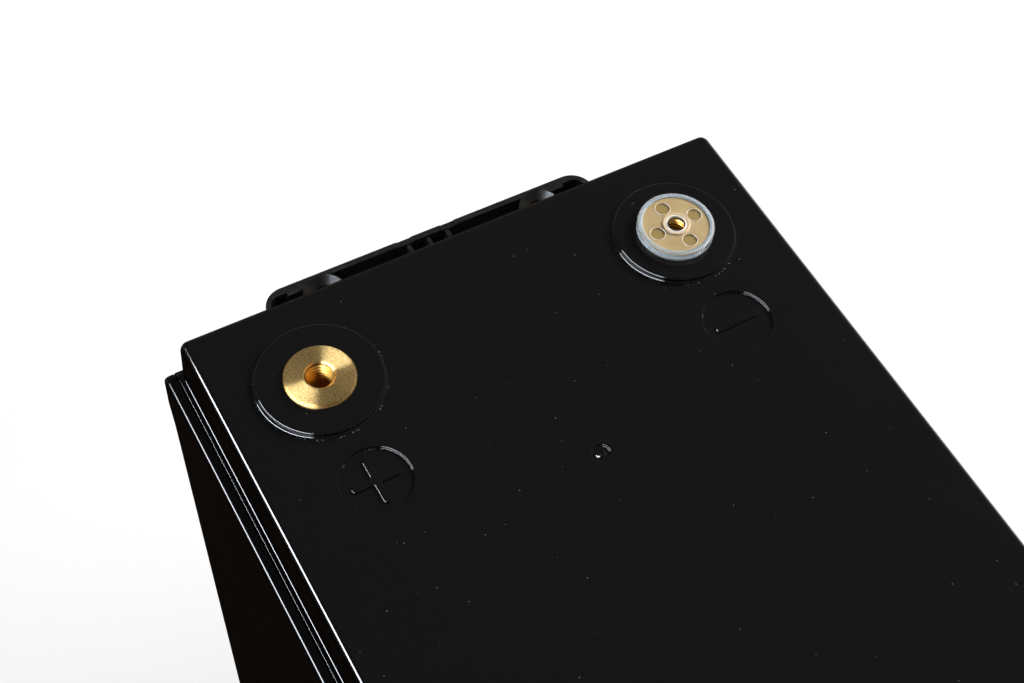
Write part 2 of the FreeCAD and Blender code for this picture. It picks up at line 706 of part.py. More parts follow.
def board():
    half = BOARD_H / 2
    plate = box(BOARD_X, BOARD_BACK_X, -BOARD_W / 2, BOARD_W / 2, BOARD_Z - half, BOARD_Z + half)
    holes = [rod_x(SCREW_HOLE_R, BOARD_X, BOARD_BACK_X, y, z) for y, z in screw_places()]
    holes += [rod_x(BLOCK_HOLE_R, BOARD_X, BOARD_BACK_X, side * -NEG_BAR_Y, BLOCK_Z) for side in (-1, 1)]
    return cut_all(plate, holes)


def transistors():
    """Row of power transistors clamped between the board and the heat plate."""
    parts = []
    for rise in TRANSISTOR_ROWS:
        z0 = BOARD_Z + rise - TRANSISTOR_H / 2
        for i in range(TRANSISTOR_COUNT):
            y0 = (i - (TRANSISTOR_COUNT - 1) / 2) * TRANSISTOR_STEP - TRANSISTOR_W / 2
            parts.append(box(BOARD_BACK_X, PLATE_X, y0, y0 + TRANSISTOR_W, z0, z0 + TRANSISTOR_H))
    return group(parts)


def standoffs():
    parts = []
    for y, z in screw_places():
        post = rod_x(STANDOFF_R, BOARD_BACK_X, PLATE_X, y, z)
        parts.append(post.cut(rod_x(SCREW_HOLE_R, BOARD_BACK_X, PLATE_X, y, z)))
    return group(parts)


def board_screws():
    parts = []
    for y, z in screw_places():
        head = rod_x(SCREW_HEAD_R, BOARD_X - SCREW_HEAD_H, BOARD_X, y, z)
        shank = rod_x(SCREW_R, BOARD_X, PACK_START_X + PLATE_T - SCREW_SPARE, y, z)
        parts.append(head.fuse(shank).removeSplitter())
    return group(parts)


def copper_blocks():
    parts = []
    for side in (-1, 1):
        y = side * -NEG_BAR_Y
        half = BLOCK_W / 2
        block = box(BLOCK_X, BOARD_X, y - half, y + half, BLOCK_Z - half, BLOCK_Z + half)
        parts.append(block.cut(rod_x(BLOCK_HOLE_R, BLOCK_X, BOARD_X, y, BLOCK_Z)))
    return group(parts)


def block_bolts():
    """Bolts through the bar or lug, the copper block and the board, with a nut behind the board."""
    parts = []
    for side, seat in ((-1, BLOCK_X - BAR_T), (1, BLOCK_X - LUG_T)):
        y = side * -NEG_BAR_Y
        head = rod_x(BLOCK_HEAD_R, seat - BLOCK_HEAD_H, seat, y, BLOCK_Z)
        shank = rod_x(BLOCK_BOLT_R, seat, PLATE_X - BLOCK_BOLT_SPARE, y, BLOCK_Z)
        parts.append(head.fuse(shank).removeSplitter())
        nut_end = BOARD_BACK_X + BLOCK_NUT_H
        nut = rod_x(BLOCK_HEAD_R, BOARD_BACK_X, nut_end, y, BLOCK_Z)
        parts.append(nut.cut(rod_x(BLOCK_BOLT_R + MOULD_FIT, BOARD_BACK_X, nut_end, y, BLOCK_Z)))
    return group(parts)


def balance_connector():
    half = PLUG_W / 2
    return box(BOARD_X - PLUG_T, BOARD_X, -half, half, PLUG_Z - PLUG_H / 2, PLUG_Z + PLUG_H / 2)


def lug(origin, outward, normal):
    """Crimp lug: an eye on its seat, with the barrel along outward and hanging against normal."""
    side = normal.cross(outward)
    eye = Part.makeCylinder(LUG_EYE_R, LUG_T, V(0, 0, -LUG_T))
    tongue = Part.makeBox(LUG_EYE_R + 2, 2 * LUG_BARREL_R, LUG_T, V(0, -LUG_BARREL_R, -LUG_T))
    start = LUG_EYE_R + 1
    barrel = Part.makeCylinder(LUG_BARREL_R, LUG_BARREL_L, V(start, 0, -LUG_BARREL_R), X_DIR)
    body = fuse_all(eye, [tongue, barrel])
    matrix = FreeCAD.Matrix(outward.x, side.x, normal.x, origin.x,
                            outward.y, side.y, normal.y, origin.y,
                            outward.z, side.z, normal.z, origin.z,
                            0, 0, 0, 1)
    body.Placement = FreeCAD.Placement(matrix)
    return body


def lug_positive_terminal():
    seat = V(TERMINAL_X, -TERMINAL_Y, SHOULDER_Z)
    return lug(seat, Y_DIR, Z_DIR).cut(cylinder(STUD_HOLE_R, seat.x, seat.y, seat.z - LUG_T, seat.z))


def lug_positive_tab():
    seat = V(TAB_END_X + LUG_EYE_R, -POLE_Y, POLE_Z)
    return lug(seat, Y_DIR, Z_DIR).cut(cylinder(BOLT_HOLE_R, seat.x, seat.y, seat.z - LUG_T, seat.z))


def lug_negative_terminal():
    seat = V(TERMINAL_X, TERMINAL_Y, SHOULDER_Z)
    return lug(seat, X_DIR, Z_DIR).cut(cylinder(STUD_HOLE_R, seat.x, seat.y, seat.z - LUG_T, seat.z))


def lug_negative_board():
    seat = V(BLOCK_X, TERMINAL_Y, BLOCK_Z)
    body = lug(seat, Z_DIR, X_DIR)
    return body.cut(rod_x(BLOCK_HOLE_R, seat.x - LUG_T, seat.x, seat.y, seat.z))


def positive_lead():
    """Lead in a flat half loop from the positive terminal to the tab."""
    reach = LUG_EYE_R + 1 + LUG_BARREL_L
    x0, x1 = TERMINAL_X, TAB_END_X + LUG_EYE_R
    y0, y1 = -TERMINAL_Y + reach, -POLE_Y + reach
    r = (x1 - x0) / 2
    centre = V((x0 + x1) / 2, y1, LUG_AXIS_Z)
    run = rod(LEAD_R, V(x0, y0, LUG_AXIS_Z), V(x0, y1, LUG_AXIS_Z))
    loop = Part.makeTorus(r, LEAD_R, centre, Z_DIR, -180, 180, 180)
    return run.fuse(loop).removeSplitter()


def negative_lead():
    """Lead from the negative terminal over the bay and down to the board."""
    reach = LUG_EYE_R + 1 + LUG_BARREL_L
    axis_x = BLOCK_X - LUG_BARREL_R
    points = [V(TERMINAL_X + reach, TERMINAL_Y, LUG_AXIS_Z), V(axis_x, TERMINAL_Y, LUG_AXIS_Z),
              V(axis_x, TERMINAL_Y, BLOCK_Z + reach)]
    return pipe(points, LEAD_R, LEAD_BEND_R)


def balance_wires():
    """One thin wire from each tap on the bars to the connector."""
    taps = [(CELL_X[0] - TAP_OUT, -POLE_Y), (CELL_X[0] + TAP_IN, POLE_Y), (CELL_X[1] + TAP_IN, -POLE_Y),
            (CELL_X[2] + TAP_IN, POLE_Y), (CELL_X[3] - LAST_TAP_IN, NEG_BAR_Y + NEG_BAR_W / 2)]
    down_x = BOARD_X - PLUG_T / 2
    plug_top = PLUG_Z + PLUG_H / 2
    run_z = BAR_Z + WIRE_RISE
    wires = []
    for i, (x, y) in enumerate(taps):
        lane = (i - 2) * WIRE_STEP
        start = V(x, y, BAR_Z)
        points = [start, V(x, y, run_z), V(x, lane, run_z), V(down_x, lane, run_z), V(down_x, lane, plug_top)]
        wires.append(pipe(points, WIRE_R, WIRE_BEND_R))
    return group(wires)


def base_pad():
    return box(PACK_START_X, PACK_END_X, -CELL_W / 2, CELL_W / 2, FLOOR_T, CAN_BASE_Z)


def side_pad(side):
    inner = CELL_W / 2 + STRAP_T + SIDE_PAD_FIT
    y0, y1 = sorted((side * inner, side * (COLLAR_W / 2 - SIDE_PAD_WALL)))
    return box(PACK_START_X + SIDE_PAD_END, PACK_END_X - SIDE_PAD_END, y0, y1, FLOOR_T,
               TOP_Z - SIDE_PAD_DROP)


def far_block():
    start = PACK_END_X + STRAP_T
    half = COLLAR_W / 2 - FAR_BLOCK_SIDE
    return box(start, END_X - FAR_BLOCK_WALL, -half, half, FLOOR_T, TOP_Z - FAR_BLOCK_DROP)


def top_pad():
    half = TOP_PAD_W / 2
    top = UNDER_LID_Z - LID_RIB_H - TOP_PAD_GAP
    return box(CELL_X[0] - TOP_PAD_END, CELL_X[-1] + TOP_PAD_END, TOP_PAD_Y - half, TOP_PAD_Y + half,
               CAN_TOP_Z, top)


def build():
    parts = {
        "case": case_body(),
        "lid": lid_body(),
        "terminal_positive": terminal(-1),
        "terminal_negative": terminal(1),
        "terminal_cap": protective_cap(),
        "seal_positive": seal_ring(-1),
        "seal_negative": seal_ring(1),
        "terminal_nuts": terminal_nuts(),
        "lug_positive_terminal": lug_positive_terminal(),
        "lug_positive_tab": lug_positive_tab(),
        "lug_negative_terminal": lug_negative_terminal(),
        "lug_negative_board": lug_negative_board(),
        "lead_positive": positive_lead(),
        "lead_negative": negative_lead(),
        "end_plate_near": end_plate(PACK_START_X),
        "end_plate_far": end_plate(PACK_END_X - PLATE_T),
        "strap_low": strap(STRAP_Z[0]),
        "strap_high": strap(STRAP_Z[1]),
        "tab_positive": positive_tab(),
        "bar_negative": negative_bar(),
        "bar_insulator": bar_insulator(),
        "pole_bolts": pole_bolts(),
        "tab_bolt": tab_bolt(),
        "bms_heat_plate": heat_plate(),
        "bms_board": board(),
        "bms_transistors": transistors(),
        "bms_standoffs": standoffs(),
        "bms_screws": board_screws(),
        "bms_copper_blocks": copper_blocks(),
        "bms_block_bolts": block_bolts(),
        "balance_connector": balance_connector(),
        "balance_wires": balance_wires(),
        "foam_base": base_pad(),
        "foam_side_left": side_pad(-1),
        "foam_side_right": side_pad(1),
        "foam_far_end": far_block(),
        "foam_top": top_pad(),
    }
    for i in range(CELL_COUNT):
        parts[f"cell_{i + 1}"] = cell(i)
    for i in range(CELL_COUNT - 1):
        parts[f"cell_spacer_{i + 1}"] = spacer(i)
        parts[f"busbar_{i + 1}"] = busbar(i)
    return parts


for name, shape in build().items():
    shape.exportStep(f"parts/{name}.step")
    print(name, shape.isValid(), len(shape.Solids), round(shape.Volume))
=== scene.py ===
import math

import bmesh
import bpy
from mathutils import Matrix, Vector


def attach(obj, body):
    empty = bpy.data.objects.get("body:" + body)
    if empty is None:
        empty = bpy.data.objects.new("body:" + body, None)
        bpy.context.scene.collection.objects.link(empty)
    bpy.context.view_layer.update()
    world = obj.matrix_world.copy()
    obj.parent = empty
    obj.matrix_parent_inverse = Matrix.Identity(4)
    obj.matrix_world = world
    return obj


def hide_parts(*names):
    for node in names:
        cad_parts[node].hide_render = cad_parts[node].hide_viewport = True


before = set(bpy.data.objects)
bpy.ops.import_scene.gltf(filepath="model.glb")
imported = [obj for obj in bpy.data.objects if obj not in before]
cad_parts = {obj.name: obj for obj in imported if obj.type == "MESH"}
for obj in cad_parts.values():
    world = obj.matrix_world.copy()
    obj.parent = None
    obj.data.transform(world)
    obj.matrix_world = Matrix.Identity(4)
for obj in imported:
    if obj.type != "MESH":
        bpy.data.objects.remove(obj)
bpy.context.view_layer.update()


# Case
# Injection moulded black ABS box, drafted so that it leaves the mould, with a thicker collar round
# its top. The lid drops between the two raised rims of the collar, which stay 3 mm wide and run out in
# a soft shoulder at the short ends.

# Sizes are in millimetres until a finished mesh is scaled to metres. Vertices within NEAR of a plane
# count as lying in it, and those within MERGE of each other become one.
MM = 0.001
NEAR, MERGE = 0.01, 0.0005
CASE_X, CASE_Y = 147.6, 85.6
CASE_CORNER_R, CASE_FOOT_R = 2.4, 2.5
CORNER_SEGMENTS = 10
CASE_DRAFT = 0.018
CASE_WALL, CASE_FLOOR = 4.0, 4.0
THROAT_R = 3.0
COLLAR_Z, COLLAR_FLARE, COLLAR_STEP = 183.0, 11.0, 0.4
SHELF_Z = 202.5
RIM_Z, RIM_R = 205.5, 1.5
RIM_INNER_Y, RIM_INNER_R = 83.0, 0.3
LONG_EDGE = 100.0
# An edge that folds by more than this stays sharp.
CREASE = math.radians(34)
SHOULDER_X, SHOULDER_RUN = 144.0, 4.05
# Beyond these the moulding is matt, up to where a rounding's normal leans up by MATT_UP. The end with the
# terminals is matt a little further up.
MATT_X, MATT_Y = 145.0, 79.0
MATT_UP, MATT_UP_NEAR_END = 0.72, 0.94


def block(bm, low, high):
    """Adds a box between two corners and returns its vertices."""
    made = bmesh.ops.create_cube(bm, size=1.0)["verts"]
    low, high = Vector(low), Vector(high)
    bmesh.ops.scale(bm, vec=high - low, verts=made)
    bmesh.ops.translate(bm, vec=(low + high) / 2, verts=made)
    return made


def edges_of(verts):
    return {e for v in verts for e in v.link_edges}


def faces_of(verts):
    return {f for v in verts for f in v.link_faces}


def only(kind, geom):
    """The elements of one kind among those that an operator returns."""
    return [g for g in geom if isinstance(g, kind)]


def level(edges, z):
    return [e for e in edges if all(abs(v.co.z - z) < NEAR for v in e.verts)]


def beside(edges, y):
    return [e for e in edges if all(abs(v.co.y - y) < NEAR for v in e.verts)]


def upright(edges):
    """The edges that climb more than 1 mm and lean less than 1 mm."""
    return [e for e in edges if abs(e.verts[0].co.z - e.verts[1].co.z) > 1.0
            and (e.verts[0].co - e.verts[1].co).xy.length < 1.0]


def rounded(bm, edges, radius, segments):
    return bmesh.ops.bevel(bm, geom=list(edges), affect="EDGES", offset=radius, offset_type="OFFSET",
                           segments=segments, profile=0.5, material=-1, clamp_overlap=True)


def all_round(verts, grow_x, grow_y):
    """Moves vertices away from the middle of the box, so a rounded corner keeps its radius."""
    for v in verts:
        v.co.x += grow_x * math.copysign(1, v.co.x)
        v.co.y += grow_y * math.copysign(1, v.co.y)


def cut(bm, verts, at, normal, drop_outer=False):
    """Cuts the given part of a mesh along a plane, and may drop what lies beyond it."""
    geom = list(verts) + list(edges_of(verts)) + list(faces_of(verts))
    bmesh.ops.bisect_plane(bm, geom=geom, dist=0.0001, plane_co=at, plane_no=normal,
                           clear_outer=drop_outer, clear_inner=False)


def shoulder(bm, chosen):
    """Rounds off what stands on the shelf over the last 4 mm before each short end."""
    for side in (-1, 1):
        for run in (0.1, 1.2, 2.2, 3.0, 3.6):
            cut(bm, chosen(), (side * (SHOULDER_X + run), 0, 0), (side, 0, 0))
    for v in chosen():
        over = max(0.0, abs(v.co.x) - SHOULDER_X) / SHOULDER_RUN
        v.co.z = SHELF_Z + (v.co.z - SHELF_Z) * math.sqrt(1 - over * over)


def closed(bm):
    """Merges what coincides and points all faces outwards."""
    bmesh.ops.remove_doubles(bm, verts=bm.verts[:], dist=MERGE)
    bmesh.ops.recalc_face_normals(bm, faces=bm.faces[:])


def filled(bm, edges, up=1):
    """Fills the flat region between nested loops of edges and returns its faces."""
    made = bmesh.ops.triangle_fill(bm, edges=list(set(edges)), use_beauty=True, normal=(0, 0, up))
    return only(bmesh.types.BMFace, made["geom"])


def matt_sides(bm):
    """Gives the second material to the walls and to the lower part of the roundings above them."""
    closed(bm)
    for face in bm.faces:
        n, middle = face.normal, face.calc_center_median()
        outside = abs(middle.x) > MATT_X or abs(middle.y) > MATT_Y
        matt_up = MATT_UP_NEAR_END if n.x < -0.3 else MATT_UP
        face.material_index = 1 if outside and n.z < matt_up else 0


def linear(code):
    """Turns an sRGB hex colour into the linear colour that shaders use."""
    parts = [int(code[i:i + 2], 16) / 255 for i in (1, 3, 5)]
    return [p / 12.92 if p <= 0.04045 else ((p + 0.055) / 1.055) ** 2.4 for p in parts] + [1.0]


def feed(node, inputs):
    """Sets inputs of a node, each to a plain value, a hex colour, or the node or output that feeds it.

    The inputs of a Mix node go by number: 0 is its share, 6 and 7 are its two colours.
    """
    for socket, value in inputs.items():
        if isinstance(value, str):
            value = linear(value)
        if isinstance(value, bpy.types.Node):
            value = next(output for output in value.outputs if output.enabled)
        if isinstance(value, bpy.types.NodeSocket):
            node.id_data.links.new(value, node.inputs[socket])
        else:
            node.inputs[socket].default_value = value


def add(tree, kind, inputs=None, **settings):
    """Adds one node with its settings and links."""
    made = tree.nodes.new("ShaderNode" + kind)
    for name, value in settings.items():
        setattr(made, name, value)
    feed(made, inputs or {})
    return made


def new_material(name):
    """Starts a material and returns it with its tree, its shader and the object coordinates."""
    made = bpy.data.materials.new(name)
    made.use_nodes = True
    tree = made.node_tree
    return made, tree, tree.nodes["Principled BSDF"], add(tree, "TexCoord").outputs["Object"]


def clouded(name, grain, detail, dark, light, rough, finish=None, stretch=None):
    """Makes a material of two near tints that drift into each other over a real length in metres.

    A pair of roughnesses drifts with them. The drift may be stretched, differently in X, Y and Z.
    """
    made, tree, shader, here = new_material(name)
    if stretch:
        here = add(tree, "Mapping", {"Vector": here, "Scale": stretch})
    drift = add(tree, "TexNoise", {"Vector": here, "Scale": 1 / grain, "Detail": detail})
    if isinstance(rough, tuple):
        rough = add(tree, "MapRange", {"Value": drift, "To Min": rough[0], "To Max": rough[1]})
    tint = add(tree, "Mix", {0: drift, 6: dark, 7: light}, data_type="RGBA")
    feed(shader, {"Base Color": tint, "Roughness": rough} | (finish or {}))
    return made


def finished(name, bm, materials, node):
    """Makes a rigid piece from a mesh in millimetres and hangs it on the frame."""
    closed(bm)
    bmesh.ops.scale(bm, vec=Vector((MM, MM, MM)), verts=bm.verts[:])
    for face in bm.faces:
        face.smooth = True
    mesh = bpy.data.meshes.new(name)
    bm.to_mesh(mesh)
    bm.free()
    mesh.set_sharp_from_angle(angle=CREASE)
    for material in materials:
        mesh.materials.append(material)
    piece = bpy.data.objects.new(name, mesh)
    bpy.context.scene.collection.objects.link(piece)
    normals = piece.modifiers.new("even_shading", "WEIGHTED_NORMAL")
    normals.keep_sharp = True
    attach(piece, "root")
    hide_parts(node)
    return piece


bm = bmesh.new()
block(bm, (-CASE_X, -CASE_Y, 0), (CASE_X, CASE_Y, COLLAR_Z))
rounded(bm, upright(bm.edges), CASE_CORNER_R, CORNER_SEGMENTS)
draft = CASE_DRAFT * COLLAR_Z
all_round([v for v in bm.verts if v.co.z < 1], -draft, -draft)
rounded(bm, level(bm.edges, 0), CASE_FOOT_R, 6)
bmesh.ops.delete(bm, geom=[f for f in bm.faces if f.calc_center_median().z > COLLAR_Z - NEAR],
                 context="FACES_ONLY")
ring = level(bm.edges, COLLAR_Z)
for grow, rise in ((COLLAR_STEP, COLLAR_FLARE), (0.0, RIM_Z - COLLAR_Z - COLLAR_FLARE)):
    made = bmesh.ops.extrude_edge_only(bm, edges=ring)["geom"]
    ring, moved = only(bmesh.types.BMEdge, made), only(bmesh.types.BMVert, made)
    all_round(moved, grow, grow)
    bmesh.ops.translate(bm, vec=(0, 0, rise), verts=moved)
bmesh.ops.contextual_create(bm, geom=ring)
rounded(bm, level(bm.edges, RIM_Z), RIM_R, 6)
cut(bm, [v for v in bm.verts if v.co.z > COLLAR_Z + 0.1], (0, 0, SHELF_Z), (0, 0, 1))
for side in (-1, 1):
    cut(bm, [v for v in bm.verts if v.co.z > SHELF_Z - NEAR], (0, side * RIM_INNER_Y, 0), (0, side, 0))
bmesh.ops.delete(bm, context="FACES", geom=[
    f for f in bm.faces if f.calc_center_median().z > SHELF_Z + NEAR
    and abs(f.calc_center_median().y) < RIM_INNER_Y - 0.001])
for side in (-1, 1):
    wound = [e for e in beside(bm.edges, side * RIM_INNER_Y) if e.is_boundary]
    feet = [v for v in {v for e in wound for v in e.verts} if abs(v.co.z - SHELF_Z) < NEAR]
    foot_edge = bmesh.ops.contextual_create(bm, geom=feet)["edges"]
    bmesh.ops.contextual_create(bm, geom=wound + foot_edge)
    crest = level(beside(bm.edges, side * RIM_INNER_Y), RIM_Z)
    rounded(bm, [e for e in crest if e.calc_length() > LONG_EDGE], RIM_INNER_R, 3)
shoulder(bm, lambda: [v for v in bm.verts if v.co.z > SHELF_Z + NEAR])
shelf_edges = [e for e in bm.edges if e.is_boundary]
throat_x, throat_y = CASE_X - CASE_WALL, CASE_Y - CASE_WALL
inner = block(bm, (-throat_x, -throat_y, CASE_FLOOR), (throat_x, throat_y, SHELF_Z))
rounded(bm, upright(edges_of(inner)), THROAT_R, 6)


def in_throat(v):
    return abs(v.co.x) < throat_x + NEAR and abs(v.co.y) < throat_y + NEAR


cut(bm, [v for v in bm.verts if in_throat(v)], (0, 0, COLLAR_Z), (0, 0, 1))
draft = CASE_DRAFT * (COLLAR_Z - CASE_FLOOR)
all_round([v for v in bm.verts if in_throat(v) and abs(v.co.z - CASE_FLOOR) < NEAR], -draft, -draft)
mouth = [f for f in bm.faces if abs(f.calc_center_median().z - SHELF_Z) < NEAR]
shelf_edges += [e for f in mouth for e in f.edges]
bmesh.ops.delete(bm, geom=mouth, context="FACES_ONLY")
filled(bm, shelf_edges)
matt_sides(bm)

# Moulded ABS from the polished part of the tool: the clean black gloss of the rims and shoulders, with
# slight clouds where the melt cooled unevenly.
case_abs = clouded("polished_abs_rim", 0.04, 3.0, "#0f0d0c", "#14110f", (0.10, 0.16),
                   {"IOR": 1.53, "Specular IOR Level": 0.35})

# The same ABS from the spark-eroded walls of the tool: a fine grit that scatters light, so the walls
# stay a deep brown-black even where they are seen nearly edge on, with a little pale dust caught in it.
eroded_abs, tree, shader, here = new_material("spark_eroded_abs_wall")
cloud = add(tree, "TexNoise", {"Vector": here, "Scale": 1 / 0.03, "Detail": 4.0})
tint = add(tree, "Mix", {0: cloud, 6: "#1a1612", 7: "#221c17"}, data_type="RGBA")
lint = add(tree, "TexNoise", {"Vector": here, "Scale": 1 / 0.0009, "Detail": 1.0})
lint = add(tree, "MapRange", {"Value": lint, "From Min": 0.74, "From Max": 0.8})
tint = add(tree, "Mix", {0: lint, 6: tint, 7: "#5c544b"}, data_type="RGBA")
# Grit of about 0.1 mm, drawn 0.5 mm coarse so that it shows.
grit = add(tree, "TexNoise", {"Vector": here, "Scale": 1 / 0.0005, "Detail": 2.0})
rough = add(tree, "MapRange", {"Value": grit, "To Min": 0.55, "To Max": 0.75})
relief = add(tree, "Bump", {"Height": grit, "Strength": 0.3, "Distance": 0.0001})
feed(shader, {"Base Color": tint, "Roughness": rough, "Normal": relief, "IOR": 1.53,
              "Specular IOR Level": 0.0})

finished("case_shell", bm, [case_abs, eroded_abs], "case")


# Lifting grips
# A hollow grip moulded onto each short end of the case, open below for the fingers. Its top is cored
# out to keep the walls thin, with three ribs in the middle and two bored bosses for a carrying rope.

GRIP_X0, GRIP_X1, GRIP_IN_X = 147.3, 165.0, 147.7
GRIP_HALF = 51.6
GRIP_Z = 197.0
GRIP_SKIN = 1.8
GRIP_WALL_IN = 163.2
GRIP_WEB_IN = 161.6
GRIP_CORNER_R, GRIP_INNER_R, GRIP_EDGE_R = 6.5, 4.7, 0.35
GRIP_FLOOR_Z, GRIP_ROOF_Z = 190.0, 188.0
POCKET_X, POCKET_Y0, POCKET_Y1, POCKET_R = 162.7, 43.9, 50.0, 3.4
# The outer wall's crest is lowered between these, on both sides of the middle.
NOTCH_Y0, NOTCH_Y1, NOTCH_DEPTH = 4.7, 9.1, 0.4
ROPE_X, ROPE_Y, ROPE_R = 158.4, 34.2, 3.6
BOSS_R, BOSS_SINK_Z = 6.2, 194.8
# The wall and the floor stop inside the boss, at these distances from its axis.
WALL_STOP_R, FLOOR_STOP_R = 5.85, 4.6
RIB_PITCH, RIB_HALF, RIB_Z, RIB_EDGE_R = 6.1, 0.65, 196.2, 0.25
# How far parts of the one moulding run into each other.
LAP, FLOOR_LAP = 0.3, 0.5


def rectangle(x0, y0, x1, y1):
    return [(x0, y0), (x1, y0), (x1, y1), (x0, y1)]


def outline(bm, points, z, radii=None):
    """Adds a closed flat outline from its corners, with the given corners rounded, as one face."""
    before = set(bm.faces)
    verts = [bm.verts.new((x, y, z)) for x, y in points]
    bm.faces.new(verts)
    for corner, radius in (radii or {}).items():
        bmesh.ops.bevel(bm, geom=[verts[corner]], affect="VERTICES", offset=radius, offset_type="OFFSET",
                        segments=8, profile=0.5, material=-1)
    return next(f for f in bm.faces if f not in before)


def ring_between(bm, faces):
    """Replaces nested outline faces by the flat region between them, and returns its faces."""
    edges = [e for f in faces for e in f.edges]
    bmesh.ops.delete(bm, geom=faces, context="FACES_ONLY")
    return filled(bm, edges)


def raised(bm, faces, height):
    """Extrudes flat faces upwards and returns the new top faces."""
    made = bmesh.ops.extrude_face_region(bm, geom=faces)["geom"]
    bmesh.ops.translate(bm, vec=(0, 0, height), verts=only(bmesh.types.BMVert, made))
    return only(bmesh.types.BMFace, made)


def spun(bm, points, x, y, steps):
    """Turns a profile of (radius, z) points about an upright axis and returns its vertices."""
    verts = [bm.verts.new((r, 0, z)) for r, z in points]
    edges = [bm.edges.new(pair) for pair in zip(verts, verts[1:])]
    before = set(bm.verts) - set(verts)
    bmesh.ops.spin(bm, geom=verts + edges, cent=(0, 0, 0), axis=(0, 0, 1), angle=math.tau, steps=steps,
                   use_merge=True)
    bmesh.ops.remove_doubles(bm, verts=[v for v in bm.verts if v not in before], dist=MERGE)
    made = [v for v in bm.verts if v not in before]
    bmesh.ops.translate(bm, vec=(x, y, 0), verts=made)
    return made


# The pocket's outline, from the case to the middle of the grip: an end pocket, the web beside it, and
# an arc round the rope's boss that runs from the web to the inner side of the wall.
arc_start = math.asin((GRIP_WEB_IN - ROPE_X) / WALL_STOP_R) - math.pi / 2
arc_end = math.pi / 2 - math.asin((GRIP_WALL_IN - ROPE_X) / WALL_STOP_R)
half_pocket = [(GRIP_IN_X, -POCKET_Y1), (POCKET_X, -POCKET_Y1), (POCKET_X, -POCKET_Y0),
               (GRIP_WEB_IN, -POCKET_Y0)]
for a in [arc_start + (arc_end - arc_start) * i / 12 for i in range(13)]:
    half_pocket.append((ROPE_X + WALL_STOP_R * math.cos(a), -ROPE_Y + WALL_STOP_R * math.sin(a)))
grip_pocket = half_pocket + [(x, -y) for x, y in reversed(half_pocket)]
pocket_radii = {1: POCKET_R, len(grip_pocket) - 2: POCKET_R}
grip_outer = rectangle(GRIP_X0, -GRIP_HALF, GRIP_X1, GRIP_HALF)
outer_radii = {1: GRIP_CORNER_R, 2: GRIP_CORNER_R}
grip_under = rectangle(GRIP_IN_X, GRIP_SKIN - GRIP_HALF, GRIP_WALL_IN, GRIP_HALF - GRIP_SKIN)


def grip_mesh():
    bm = bmesh.new()
    lower = ring_between(bm, [outline(bm, grip_outer, COLLAR_Z, outer_radii),
                              outline(bm, grip_under, COLLAR_Z, {1: GRIP_INNER_R, 2: GRIP_INNER_R})])
    raised(bm, lower, GRIP_ROOF_Z + LAP - COLLAR_Z)
    upper = ring_between(bm, [outline(bm, grip_outer, GRIP_ROOF_Z - LAP, outer_radii),
                              outline(bm, grip_pocket, GRIP_ROOF_Z - LAP, pocket_radii)])
    before = set(bm.verts) - {v for f in upper for v in f.verts}
    for y in (-NOTCH_Y1, -NOTCH_Y0, NOTCH_Y0, NOTCH_Y1):
        cut(bm, [v for v in bm.verts if v not in before], (0, y, 0), (0, 1, 0))
    walls = [f for f in bm.faces if not any(v in before for v in f.verts)]
    top = raised(bm, walls, GRIP_Z - NOTCH_DEPTH - GRIP_ROOF_Z + LAP)
    high = [f for f in top if not (NOTCH_Y0 < abs(f.calc_center_median().y) < NOTCH_Y1
                                   and f.calc_center_median().x > GRIP_WALL_IN)]
    raised(bm, high, NOTCH_DEPTH)
    bmesh.ops.delete(bm, geom=[f for f in high if f.is_valid], context="FACES")
    sharp = [e for e in level(bm.edges, GRIP_Z) if len(e.link_faces) == 2 and e.calc_face_angle(0) > 1.0]
    rounded(bm, sharp, GRIP_EDGE_R, 3)
    floor = [outline(bm, grip_pocket, GRIP_ROOF_Z, pocket_radii)]
    for v in floor[0].verts:
        v.co.x += FLOOR_LAP if v.co.x > GRIP_X0 + 1 else 0.0
        v.co.y += math.copysign(FLOOR_LAP, v.co.y)
    for side in (-1, 1):
        made = bmesh.ops.create_circle(bm, cap_ends=True, radius=FLOOR_STOP_R, segments=32)["verts"]
        bmesh.ops.translate(bm, vec=(ROPE_X, side * ROPE_Y, GRIP_ROOF_Z), verts=made)
        floor.append(made[0].link_faces[0])
    raised(bm, ring_between(bm, floor), GRIP_FLOOR_Z - GRIP_ROOF_Z)
    for side in (-1, 1):
        spun(bm, [(ROPE_R, GRIP_ROOF_Z), (ROPE_R, BOSS_SINK_Z), (BOSS_R - 0.4, GRIP_Z),
                  (BOSS_R - 0.2, GRIP_Z), (BOSS_R, GRIP_Z - 0.2), (BOSS_R, GRIP_ROOF_Z),
                  (ROPE_R, GRIP_ROOF_Z)], ROPE_X, side * ROPE_Y, 48)
    for y in (-RIB_PITCH, 0, RIB_PITCH):
        rib = block(bm, (GRIP_X0, y - RIB_HALF, GRIP_FLOOR_Z - FLOOR_LAP),
                    (GRIP_WALL_IN + LAP, y + RIB_HALF, RIB_Z))
        rounded(bm, [e for e in level(edges_of(rib), RIB_Z) if e.calc_length() > 5], RIB_EDGE_R, 2)
    return bm


